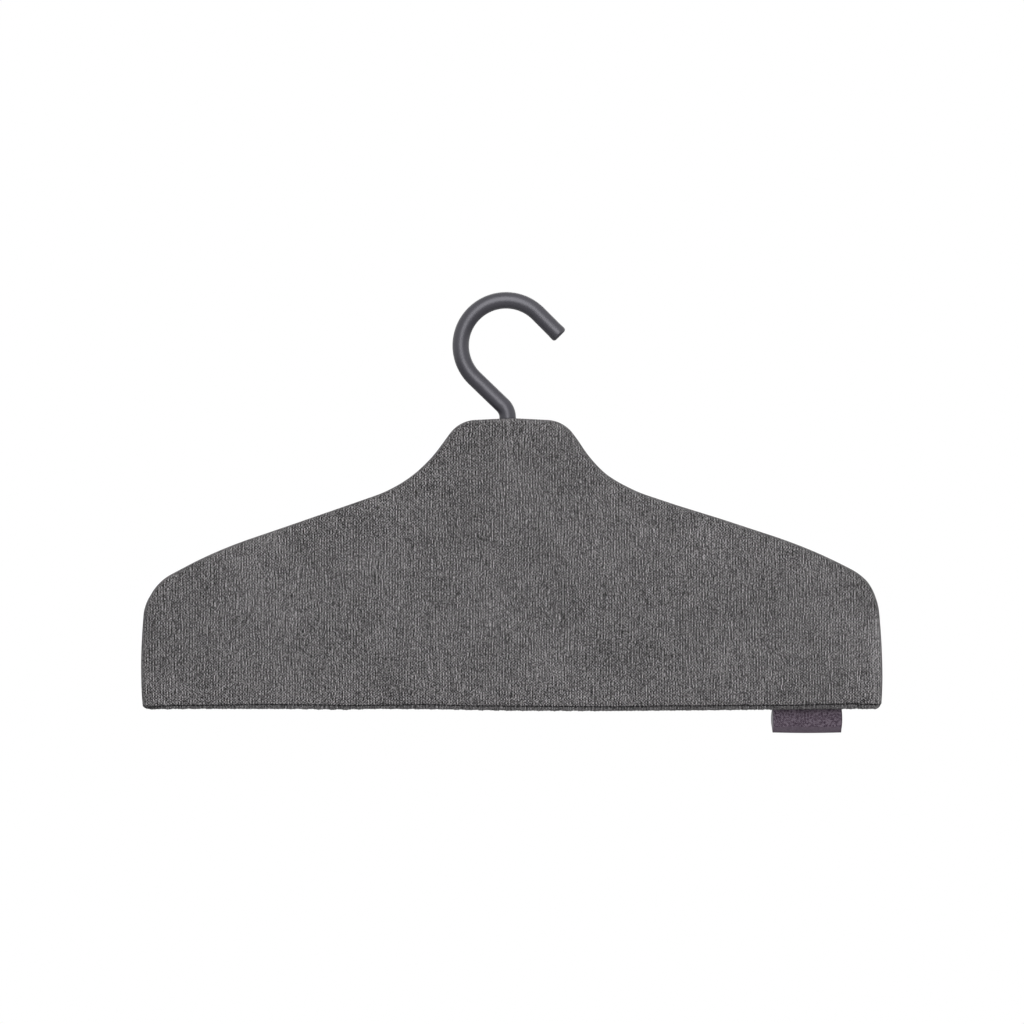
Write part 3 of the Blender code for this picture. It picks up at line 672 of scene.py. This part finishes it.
def felt_looks():
    """Pressed felt: short matted fibres and a few darker ones."""
    look = Look("felt", 0.95, specular=0.15, sheen=0.3, sheen_roughness=0.6)
    fibres = look.noise(look.place, 1500.0, 4.0, 0.7)
    strands = look.math("ABSOLUTE", look.noise(look.place, 420.0))
    dark = look.math("LESS_THAN", strands, 0.03)
    tone = look.total((fibres, 0.6), (dark, -0.35), (look.noise(look.place, 60.0), 0.2))
    look.colour(tone, (0.25, (0.38, 0.37, 0.36)), (0.75, (0.62, 0.61, 0.59)))
    look.bump(fibres, 0.0002)
    return look.material


CLOTH = cloth_looks()
THREAD = thread_looks("thread", (0.06, 0.058, 0.06), (0.19, 0.184, 0.188))
# Painted shade: the lip stitches' thread is nearly black, so that they also paint the shadow in the gap under
# the front's lip.
DARK_THREAD_AND_PAINTED_SHADE = thread_looks("dark_thread_painted_shade", (0.008, 0.008, 0.009), (0.02, 0.019, 0.021))
LABEL_TAPE = label_looks()
COATED_STEEL = coated_looks()
BARE_STEEL = steel_looks()
NYLON = nylon_looks()
CORE_PLASTIC = plastic_looks()
FELT = felt_looks()


# Cover
def rim_profile():
    """(inwards, out from the mid-plane) points from the seam round to the flat face."""
    line = [(SEAM_DEPTH, 0.0001), (0.00035, 0.00025), (0.0001, 0.0006), (0.0, 0.0012), (0.0, 0.0028)]
    centre = CLOTH_OUTER - RIM_RADIUS
    for angle in quarter_turn(10):
        line.append((RIM_RADIUS * (1 - cos(angle)), centre + RIM_RADIUS * sin(angle)))
    return np.array(line)


PROFILE = rim_profile()
PROFILE_LENGTH = running_length(PROFILE)
RING_SHARES = PROFILE_LENGTH / PROFILE_LENGTH[-1]
pucker = wobble(SEED, 0.007, 0.018)
sway = ripple(SEED + 1, 0.06, 0.16)
creases = ripple(SEED + 2, 0.018, 0.045)
fold_lumps = wobble(SEED + 4, 0.0035, 0.009, 9)

FOLD_REACH = 0.008


def sheet_piece(name, node, verts, faces, towards, material=CLOTH, thickness=CLOTH_THICKNESS):
    """A sheet whose outer side faces as towards(face centre) points, with its thickness behind that."""
    piece = new_piece(name, verts, faces, material)
    face_outwards(piece, towards)
    cloth = piece.modifiers.new("cloth thickness", "SOLIDIFY")
    cloth.thickness = thickness
    cloth.offset = -1.0
    cloth.use_even_offset = True
    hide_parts(node)
    return piece


def relief(place, u, depth, front):
    """How far the cloth of a face stands out: soft waves, puckers at the seam and the ridge over the stem."""
    x, z = place.T
    sway_height, crease_height, pucker_height, ridge_height = 0.00022, 0.00005, 0.0001, 0.0003
    pucker_reach, seam_hold, back_shift = 0.008, 0.8, 0.4
    ridge_offset, ridge_width, ridge_length = 0.0006, 0.0016, 0.055
    near_seam = fading(depth - RIM_RADIUS, pucker_reach)
    out = sway_height * sway(x, z + (0.0 if front else back_shift)) + crease_height * creases(x, z)
    out = out * (1 - seam_hold * near_seam) + pucker_height * pucker(u) * near_seam
    below = (TOP_Z - z) / ridge_length
    ridge = np.exp(-(((x - STEM_X - ridge_offset) / ridge_width) ** 2)) * np.clip(1 - below, 0, 1)
    return out + (ridge_height * ridge if front else 0.0)


def tray(points, normals, side):
    """Rings of cloth from the seam round the rim to the flat face, opened where the hook's stem
    comes through, and the running length along them."""
    corner_reach, corner_pull, relief_start = 0.008, 0.25, 0.002
    u = running_length(points)
    off_stem = np.clip(1 - ((points[:, 0] - STEM_X) / STEM_HOLE) ** 2, 0, None)
    at_stem = points[:, 1] > TOP_Z - STEM_ZONE
    start_y = np.where(at_stem, STEM_HOLE * np.sqrt(off_stem), 0.0)
    start = np.interp(start_y, PROFILE[:, 1], PROFILE_LENGTH)
    corner_x = np.abs(points[:, 0] - COVER_X) - BOTTOM_HALF + BOTTOM_CORNER
    from_corner = np.hypot(corner_x, points[:, 1] - BOTTOM_Z - BOTTOM_CORNER)
    tightness = np.clip(1 - (from_corner - BOTTOM_CORNER) / corner_reach, 0, 1) if side > 0 else 0.0
    rings = []
    for share in RING_SHARES:
        length = start + (PROFILE_LENGTH[-1] - start) * share
        depth = np.interp(length, PROFILE_LENGTH, PROFILE[:, 0]) * (1 - corner_pull * tightness)
        out = np.interp(length, PROFILE_LENGTH, PROFILE[:, 1])
        place = points - normals * depth[:, None]
        lift = relief(place, u, depth, side < 0)
        lift = lift * np.clip((out - relief_start) / (CLOTH_OUTER - relief_start), 0, 1)
        rings.append(np.stack([place[:, 0], side * (out + lift), place[:, 1]], axis=1))
    return rings, u


def face_points(grid, points, u, side):
    index, depth = nearest(grid, points)
    lift = relief(grid, u[index], depth, side < 0)
    return np.stack([grid[:, 0], side * (CLOTH_OUTER + lift), grid[:, 1]], axis=1)


def lip_rise(x):
    """How far the front's lip stands above its straight line at x."""
    return read_off(LIP_WAVE, (x - COVER_X) / HALF_WIDTH)


def fold_rise(x):
    """How far the fold at the cover's bottom stands above its straight line at x."""
    return read_off(FOLD_WAVE, (x - COVER_X) / HALF_WIDTH)


def into_cover(place, points):
    """The way from a place on the front panel's lower edge into the cover, square to the cloth there."""
    x, y, _ = place
    end, side = (points[-1][0], -1.0) if x > COVER_X else (points[0][0], 1.0)
    across = side * max(RIM_RADIUS - abs(end - x), 0.0)
    back = max(-y - (CLOTH_OUTER - RIM_RADIUS), 0.0)
    way = np.array([across if back > 0.0 else side, back, 0.0])
    return way / np.linalg.norm(way)


def hem_levels():
    """(into the cover, up) for each row of the hem: round its fold, and then straight up."""
    turns = [pi * k / 6 for k in range(1, 7)]
    levels = [(HEM_RADIUS * (1 - cos(a)), -HEM_RADIUS * sin(a)) for a in turns]
    return levels + [(2 * HEM_RADIUS, HEM_HEIGHT * k / 4) for k in range(1, 5)]


def make_cover_front():
    """The front panel with its rim, open below, and the hem turned up inside it."""
    fold_z = LIP_Z + HEM_RADIUS
    line = rounded(corner_list(fold_z, 0.0), COVER_X)
    low = [i for i, (_, z) in enumerate(line) if z < fold_z + 1e-7]
    points = spaced(line[low[-1]:] + line[:low[0] + 1], closed=False)
    normals = outward(points, closed=False)
    normals[0], normals[-1] = (-1.0, 0.0), (1.0, 0.0)
    points = pulled(points, normals)
    rings, u = tray(points, normals, -1)
    verts, count = np.concatenate(rings), len(points)
    faces = strips(len(rings), count)

    inner = rings[-1][:, [0, 2]]
    steps = ceil((inner[-1][0] - inner[0][0]) / OUTLINE_STEP)
    row_x = np.linspace(inner[-1][0], inner[0][0], steps + 1)[1:-1]
    row = np.stack([row_x, np.full(steps - 1, fold_z)], axis=1)
    grid, triangles = fill([np.concatenate([inner, row])], CLOTH_STEP)
    rim_start, row_start = len(verts) - count, len(verts)
    verts = np.concatenate([verts, face_points(np.concatenate([row, grid]), points, u, -1)])
    faces += [tuple(rim_start + i for i in triangle) for triangle in triangles]

    left = [k * count for k in range(len(rings))]
    right = [i + count - 1 for i in reversed(left)]
    edge = [*left, *reversed(range(row_start, row_start + len(row))), *right]
    base, inwards = verts[edge], np.array([into_cover(verts[i], points) for i in edge])
    for into, up in hem_levels():
        new = base + inwards * into
        new[:, 2] += up
        names = list(range(len(verts), len(verts) + len(new)))
        verts = np.concatenate([verts, new])
        faces += strip(edge, names)
        edge = names

    lip_pucker, lip_reach = 0.00012, 0.012
    reach = fading(verts[:, 2] - LIP_Z, lip_reach)
    verts[:, 2] += lip_rise(verts[:, 0]) * reach + lip_pucker * pucker(verts[:, 0] * 1.3) * reach
    hem_top = LIP_Z + HEM_HEIGHT + HEM_RADIUS * 4
    return sheet_piece(
        "cover_front_cloth", "cover_front", verts, faces,
        lambda c: (0, -1, 0) if c.z > hem_top else (0, 0, 0))


def make_cover_back():
    """The back panel, whose rim runs all the way round to the bottom seam."""
    points, normals = seam_line()
    rings, u = tray(points, normals, 1)
    verts = np.concatenate(rings)
    faces = strips(len(rings), len(points), closed=True)
    rim_start = len(verts) - len(points)
    grid, triangles = fill([rings[-1][:, [0, 2]]], CLOTH_STEP)
    verts = np.concatenate([verts, face_points(grid, points, u, 1)])
    verts[:, 2] += fold_rise(verts[:, 0]) * fading(verts[:, 2] - BOTTOM_Z, FOLD_REACH)
    faces += [tuple(rim_start + i for i in triangle) for triangle in triangles]
    return sheet_piece("cover_back_cloth", "cover_back", verts, faces, lambda c: (0, 1, 0))


# Flap
def corner_rise(x):
    """How far the cover's bottom has risen at x, on its way round the bottom corner."""
    past = np.abs(x - COVER_X) - (BOTTOM_HALF - BOTTOM_CORNER)
    past = np.clip(past, 0.0, BOTTOM_CORNER * 0.98)
    return BOTTOM_CORNER - np.sqrt(BOTTOM_CORNER**2 - past**2)


def flap_profile():
    """(out from the mid-plane, up from the cover's bottom) from the seam round the fold and upwards."""
    line = [(0.00015, 0.0006), (0.0004, 0.00015), (0.001, 0.0), (0.0021, 0.0)]
    radius = FLAP_RADIUS
    for angle in quarter_turn(8):
        line.append((FLAP_FACE - radius * (1 - sin(angle)), radius * (1 - cos(angle))))
    return line + [(FLAP_FACE, up) for up in (0.0045, 0.0075, 0.012, 0.017, FLAP_HEIGHT)]


def flap_place(x, out, up):
    """A point of the flap at x, with the lumps of the fold and its narrower upper part."""
    lump_height, lump_start, lump_reach, lump_lean = 0.00012, 0.002, 0.002, 0.6
    tuck_width, tuck_height, tuck_below_lip, tuck_share = 0.0042, 0.0015, 0.0006, 0.05
    lumps = lump_height * fold_lumps(x) * min(1.0, out / lump_start)
    lumps = lumps * exp(-max(up - FLAP_RADIUS, 0.0) / lump_reach)
    share = (x - COVER_X) / FLAP_HALF
    tuck = max(0.0, min(1.0, (up - LIP_STEP + tuck_below_lip) / tuck_height)) * tuck_width
    tuck = tuck * max(0.0, abs(share) - (1 - tuck_share)) / tuck_share
    rise = corner_rise(x) * max(0.0, 1 - up / 0.01) + fold_rise(x)
    return x - copysign(tuck, share), -(out + lumps * lump_lean), BOTTOM_Z + up + rise - lumps


def make_flap():
    """The flap, from the bottom seam round the fold and up behind the front's hem."""
    profile = flap_profile()
    xs = np.linspace(COVER_X - FLAP_HALF, COVER_X + FLAP_HALF, 400)
    verts = [flap_place(x, out, up) for out, up in profile for x in xs]
    faces = strips(len(profile), len(xs))
    return sheet_piece("closure_flap_cloth", "closure_flap", verts, faces, lambda c: (0, -1, -0.3))


# Stitches
PROUD = 0.00005


def make_edge_stitches():
    """Overlock stitches round the fold below the lip."""
    rng = random.Random(SEED + 6)
    pitch, margin, jitter, radius = 0.0024, 0.002, 0.0002, FLAP_RADIUS
    profile = [(out, up) for out, up in flap_profile() if out > 0.0003 and up < 0.0046]
    paths = []
    for k in range(int(2 * (FLAP_HALF - margin) / pitch) + 1):
        x = COVER_X - FLAP_HALF + margin + k * pitch + rng.uniform(-jitter, jitter)
        slant = rng.uniform(0.0009, 0.0014)
        path = []
        for i, (out, up) in enumerate(profile):
            px, py, pz = flap_place(x + slant * i / (len(profile) - 1), out, up)
            out_y, out_z = -1.0, 0.0
            if up <= radius:
                out_y, out_z = -max(out - (FLAP_FACE - radius), 0.0) / radius, -(radius - up) / radius
            path.append((px, py + PROUD * out_y, pz + PROUD * out_z))
        paths.append(path)
    return new_piece("edge_stitches", *tube(paths, radius=0.00018), THREAD)


def make_lip_stitches():
    """A row of dark stitches that hold the fold just below the lip; nearly black, they also paint the shadow
    in the gap under the lip.
    """
    rng = random.Random(SEED + 8)
    margin, drop, dip, jitter = 0.003, 0.0003, 0.0003, 0.00006
    paths = []
    start, end = COVER_X - FLAP_HALF + margin, COVER_X + FLAP_HALF - margin
    while start < end:
        long = rng.uniform(0.0021, 0.003)
        path = []
        for share in (0.0, 0.2, 0.5, 0.8, 1.0):
            x = start + long * share
            deep = dip * abs(2 * share - 1) ** 3
            z = LIP_Z + lip_rise(x) - drop + rng.uniform(-jitter, jitter)
            path.append((x, -(FLAP_FACE + PROUD - deep), z))
        paths.append(path)
        start += long + rng.uniform(0.0002, 0.0006)
    return new_piece("lip_stitches", *tube(paths, radius=0.00042), DARK_THREAD_AND_PAINTED_SHADE)


def make_seam_stitches():
    """Running stitches in the groove where the two panels meet, from lip to lip over the neck."""
    pitch, long, depth = 0.003, 0.0022, 0.00052
    stem_gap, label_gap, label_rise = 0.003, 0.002, 0.003
    points, normals = seam_line()
    points = points - normals * depth
    points = np.roll(points, -int(np.argmax(points[:, 1])), axis=0)
    u = running_length(points)
    paths = []
    for k in range(int(u[-1] / pitch)):
        at = [k * pitch + long * share for share in (0.0, 0.25, 0.5, 0.75, 1.0)]
        xs, zs = np.interp(at, u, points[:, 0]), np.interp(at, u, points[:, 1])
        if abs(xs[2] - STEM_X) < STEM_HOLE + stem_gap and zs[2] > TOP_Z - STEM_ZONE:
            continue
        if abs(xs[2] - LABEL_X) < LABEL_WIDTH / 2 + label_gap and zs[2] < BOTTOM_Z + label_rise:
            continue
        lift = fold_rise(xs) * fading(zs - BOTTOM_Z, FOLD_REACH)
        paths.append([(x, 0.0, z) for x, z in zip(xs, zs + lift)])
    return new_piece("seam_stitches", *tube(paths, radius=0.00024), THREAD)


# Label
def make_label():
    """A woven tape folded into a flat loop, its ends in the bottom seam."""
    turns, columns, tail_gap = 28, 30, 0.00022
    left_bow, right_bow, taper, sag, left_puff = -0.0005, 0.0003, 0.0004, 0.0003, 0.35
    tail = [(tail_gap, BOTTOM_Z + LABEL_TAIL), (tail_gap, BOTTOM_Z + 0.0003)]
    loop = []
    for k in range(1, turns):
        angle = 2 * pi * k / turns
        width = LABEL_BULGE / 2 * sin(angle) * sin(angle / 2)
        loop.append((width, BOTTOM_Z - LABEL_DROP * (1 - cos(angle)) / 2))
    profile = tail + loop + [(-y, z) for y, z in reversed(tail)]
    verts = []
    for y, z in profile:
        level = min(1.0, max(0.0, (BOTTOM_Z - z) / LABEL_DROP))
        for i in range(columns + 1):
            share = i / columns
            bow = left_bow * (1 - share) ** 3 + right_bow * share**3
            x = LABEL_X + LABEL_WIDTH * (share - 0.5) + bow * sin(pi * min(1.0, level * 1.15))
            x += taper * (1 - 2 * share) * level**3
            puff = 1.0 + left_puff * (1 - share) ** 2
            verts.append((x, y * puff, z - sag * sin(pi * share) * level))
    faces = strips(len(profile), columns + 1)
    return sheet_piece("label_loop", "label", verts, faces, lambda c: (0, c.y, 0), LABEL_TAPE, 0.00035)


# Pads
PAD_CUT_GAP = 0.0003


def felt_section():
    """(inwards, out from the mid-plane) points over a pad's soft edge, from its inner to its outer face."""
    soft = 0.0008
    inner = [(soft * (1 - cos(a)), PAD_INNER + soft * (1 - sin(a))) for a in (pi / 2, 1.0, 0.5)]
    outer = [(soft * (1 - cos(a)), PAD_OUTER - soft * (1 - sin(a))) for a in (0.4, 0.8, 1.2, pi / 2)]
    return inner + [(0.0, PAD_INNER + 0.0007), (0.0, PAD_OUTER - soft)] + outer


def cut_below(line, bottom_z):
    """The board's clockwise outline with what lies below bottom_z cut off."""
    above = [(x, z) for x, z in line if z > bottom_z + PAD_CUT_GAP]
    last = max(i for i, (x, z) in enumerate(above) if x > 0.1)
    right, left = above[last], above[last + 1]
    return above[:last + 1] + [(right[0], bottom_z), (left[0], bottom_z)] + above[last + 1:]


def make_pad(name, node, side, bottom_z=None):
    """A felt pad with soft edges and a window in its neck."""
    corners = corner_list(BOTTOM_Z, BOARD_CORNER_RADIUS + COVER_EASE)
    line = rounded(inset(corners, COVER_EASE + PAD_INSET), STEM_X, BOARD_RISE)
    if bottom_z is not None:
        line = cut_below(line, bottom_z)
    points = spaced(line, closed=True)
    normals = outward(points, closed=True)
    rings = []
    for depth, out in felt_section():
        place = points - normals * depth
        rings.append(np.stack([place[:, 0], np.full(len(points), side * out), place[:, 1]], axis=1))
    verts, count = np.concatenate(rings), len(points)
    faces = strips(len(rings), count, closed=True)
    left, right = STEM_X - WINDOW_HALF_WIDTH, STEM_X + WINDOW_HALF_WIDTH
    top, low = WINDOW_TOP_Z, WINDOW_BOTTOM_Z
    window = spaced([(left, top), (right, top), (right, low), (left, low)], closed=True)
    matting, felt_wave = ripple(SEED + 7, 0.012, 0.03), 0.00008
    holes = []
    for k, out, wave in ((0, PAD_INNER, 0.0), (len(rings) - 1, PAD_OUTER, felt_wave)):
        grid, triangles = fill([rings[k][:, [0, 2]], window], FELT_STEP)
        flat = np.concatenate([window, grid])
        names = list(range(k * count, (k + 1) * count)) + list(range(len(verts), len(verts) + len(flat)))
        lift = np.zeros(len(flat))
        lift[len(window):] = wave * matting(grid[:, 0], grid[:, 1])
        holes.append(looped(names[count:count + len(window)]))
        verts = np.concatenate([verts, np.stack([flat[:, 0], side * (out + lift), flat[:, 1]], axis=1)])
        faces += [tuple(names[i] for i in triangle) for triangle in triangles]
    faces += strip(*holes)
    pad = new_piece(name, verts, faces, FELT)
    face_outwards(pad)
    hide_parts(node)
    return pad


# Hook
SPIGOT_CHAMFER = 0.0006
THREAD_TOP_Z = SPIGOT_END_Z + 0.0082
THREAD_PITCH = 0.001


def hook_line():
    """(x, z, radius) from the spigot's lower end to the hook's tip."""
    thread_start, rows_to_a_thread, shoulder_chamfer = 0.00075, 8, 0.0004
    bend_steps, crook_steps, tip_blunt, tip_bead = 20, 90, 0.0017, 0.00012
    rows = [(SPIGOT_END_Z, SPIGOT_RADIUS - SPIGOT_CHAMFER), (SPIGOT_END_Z + SPIGOT_CHAMFER, SPIGOT_RADIUS)]
    z = SPIGOT_END_Z + thread_start
    while z < THREAD_TOP_Z:
        rows.append((z, SPIGOT_RADIUS))
        z += THREAD_PITCH / rows_to_a_thread
    rows += [
        (THREAD_TOP_Z, SPIGOT_RADIUS), (SHOULDER_Z - 0.00002, SPIGOT_RADIUS),
        (SHOULDER_Z, ROD_RADIUS - shoulder_chamfer), (SHOULDER_Z + shoulder_chamfer, ROD_RADIUS)]
    line = [(STEM_X, *row) for row in rows]

    run = (STEM_X + CROOK_RADIUS * cos(LEAN)) / sin(LEAN)
    corner_z = CROOK_Z - CROOK_RADIUS * sin(LEAN) - run * cos(LEAN)
    bend_z = corner_z - BEND_RADIUS * tan(LEAN / 2)
    for k in range(bend_steps + 1):
        angle = LEAN * k / bend_steps
        x = STEM_X - BEND_RADIUS * (1 - cos(angle))
        line.append((x, bend_z + BEND_RADIUS * sin(angle), ROD_RADIUS))
    turn = pi + LEAN - TIP
    for k in range(crook_steps + 1):
        angle = pi + LEAN - turn * k / crook_steps
        line.append((CROOK_RADIUS * cos(angle), CROOK_Z + CROOK_RADIUS * sin(angle), ROD_RADIUS))

    end_x, end_z, _ = line[-1]
    tip = [
        (TIP_RUN - back, ROD_RADIUS + tip_bead * swell)
        for back, swell in ((0.006, 0.0), (0.0045, 0.3), (0.0034, 0.8), (0.0026, 1.0))]
    for angle in quarter_turn(8):
        radius = ROD_RADIUS + tip_bead - (tip_blunt + tip_bead) * (1 - cos(angle))
        tip.append((TIP_RUN - tip_blunt * (1 - sin(angle)), radius))
    tip += [(tip[-1][0], tip[-1][1] * share) for share in (0.8, 0.45)]
    for along, radius in tip:
        line.append((end_x + along * sin(TIP), end_z - along * cos(TIP), radius))
    return line


def make_hook():
    """The rod, swept along its centreline, with the thread cut into its spigot."""
    sides, depth, runout = 48, 0.0005, 0.0004
    line = hook_line()
    along = np.gradient(np.array([(x, z) for x, z, _ in line]), axis=0)
    along[-3:] = (sin(TIP), -cos(TIP))
    along /= np.linalg.norm(along, axis=1)[:, None]
    verts = []
    for (x, z, radius), (ax, az) in zip(line, along):
        thread = min(1.0, (z - SPIGOT_END_Z - SPIGOT_CHAMFER) / runout, (THREAD_TOP_Z - z) / runout)
        cut = max(thread, 0.0) * depth
        for k in range(sides):
            angle = 2 * pi * k / sides
            r = radius - cut * abs(((z / THREAD_PITCH + k / sides) % 1.0) * 2 - 1)
            verts.append((x + az * r * cos(angle), r * sin(angle), z - ax * r * cos(angle)))
    hook = new_piece("hook_rod", verts, rod_faces(len(line), sides), COATED_STEEL)
    hook.data.materials.append(BARE_STEEL)
    face_outwards(hook)
    for face in hook.data.polygons:
        if face.center.z < SHOULDER_Z:
            face.material_index = 1
    hook.data.set_sharp_from_angle(angle=radians(50))
    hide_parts("hook")
    return hook


def build():
    cover_front, cover_back, flap = make_cover_front(), make_cover_back(), make_flap()
    edge_stitches, seam_stitches = make_edge_stitches(), make_seam_stitches()
    lip_stitches, label = make_lip_stitches(), make_label()
    front_felt = make_pad("front_felt", "front_pad", -1, BOTTOM_Z + FLAP_HEIGHT + PAD_CUT_GAP)
    back_felt = make_pad("back_felt", "back_pad", 1)
    hook = make_hook()
    cloth = (cover_front, cover_back, flap, edge_stitches, seam_stitches, lip_stitches)
    on_board = [(piece, "cloth") for piece in cloth]
    on_board += [(label, "label_tape"), (front_felt, "felt"), (back_felt, "felt")]
    for piece, slot in on_board:
        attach(piece, "board")
    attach(hook, "hook")
    for node, material in (
        ("lower_washer", BARE_STEEL), ("lock_nut", BARE_STEEL), ("upper_washer", NYLON),
        ("core", CORE_PLASTIC), ("back_plate", CORE_PLASTIC),
    ):
        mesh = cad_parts[node].data
        mesh.materials.clear()
        mesh.materials.append(material)


# Stage
CAMERA_DISTANCE = 4.0
VIEW_WIDTH = 0.615
VIEW_X, VIEW_Z = 0.003604, -0.12215
SENSOR = 36.0
LIGHT_DISTANCE = 2.6
# Name, azimuth, elevation, width, height, power
LIGHTS = (
    ("key", 0, 24, 1.8, 2.6, 55.0),
    ("top", 55, 60, 1.8, 1.8, 3.0),
    ("side", 80, 8, 1.2, 1.2, 2.0),
    ("back", 180, 15, 2.4, 2.2, 22.0),
)


def add_area_light(name, azimuth, elevation, width, height, power):
    """A softbox aimed at the object's middle."""
    light = bpy.data.lights.new(name, "AREA")
    light.shape = "RECTANGLE"
    light.size = width
    light.size_y = height
    light.energy = power
    lamp = placed(name, light)
    a, e = radians(azimuth), radians(elevation)
    back = Vector((sin(a) * cos(e), -cos(a) * cos(e), sin(e)))
    lamp.location = Vector((VIEW_X, 0.0, VIEW_Z)) + back * LIGHT_DISTANCE
    lamp.rotation_mode = "QUATERNION"
    lamp.rotation_quaternion = back.to_track_quat("Z", "Y")


def make_world():
    """White to the camera, in reflections and through glass, and a plain soft fill otherwise."""
    fill_light, white = 0.25, 1.0
    world = bpy.data.worlds.new("studio")
    bpy.context.scene.world = world
    world.use_nodes = True
    nodes = Nodes(world.node_tree)
    background = nodes.tree.nodes["Background"].inputs
    background["Color"].default_value = (1.0, 1.0, 1.0, 1.0)
    rays = nodes.node("LightPath").outputs
    seen = nodes.math("MAXIMUM", rays["Is Camera Ray"], rays["Is Glossy Ray"])
    seen = nodes.math("MAXIMUM", seen, rays["Is Transmission Ray"])
    nodes.join(nodes.ranged(seen, (0.0, 1.0), (fill_light, white)), background["Strength"])


def make_floor():
    """A pale floor, well below the hanger, that fades to white before its edges."""
    half, z, glow = 4.0, -1.15, 0.45
    look = Look("floor", 0.9, specular=0.1)
    clouds = look.noise(look.place, 3.0, 3.0)
    look.colour(clouds, (0.3, (0.8, 0.8, 0.8)), (0.7, (0.83, 0.83, 0.83)))
    rays = look.node("LightPath")
    look.shader["Emission Color"].default_value = (1.0, 1.0, 1.0, 1.0)
    away = look.length(look.x, look.y)
    glowing = look.math("MULTIPLY_ADD", look.span(away, 1.0, 3.8), glow, glow)
    look.join(look.times(rays.outputs["Is Camera Ray"], glowing), look.shader["Emission Strength"])
    corners = [(-half, -half, z), (half, -half, z), (half, half, z), (-half, half, z)]
    new_piece("floor", corners, [(0, 1, 2, 3)], look.material)


def make_camera():
    camera = bpy.data.cameras.new("camera")
    camera.sensor_width = SENSOR
    camera.lens = SENSOR * CAMERA_DISTANCE / VIEW_WIDTH
    camera.clip_start, camera.clip_end = 0.1, 60.0
    holder = placed("camera", camera)
    holder.location = (VIEW_X, -CAMERA_DISTANCE, VIEW_Z)
    holder.rotation_euler = (pi / 2, 0.0, 0.0)
    bpy.context.scene.camera = holder


make_camera()
build()
make_world()
make_floor()
for row in LIGHTS:
    add_area_light(*row)
bpy.context.scene.view_settings.view_transform = "Standard"
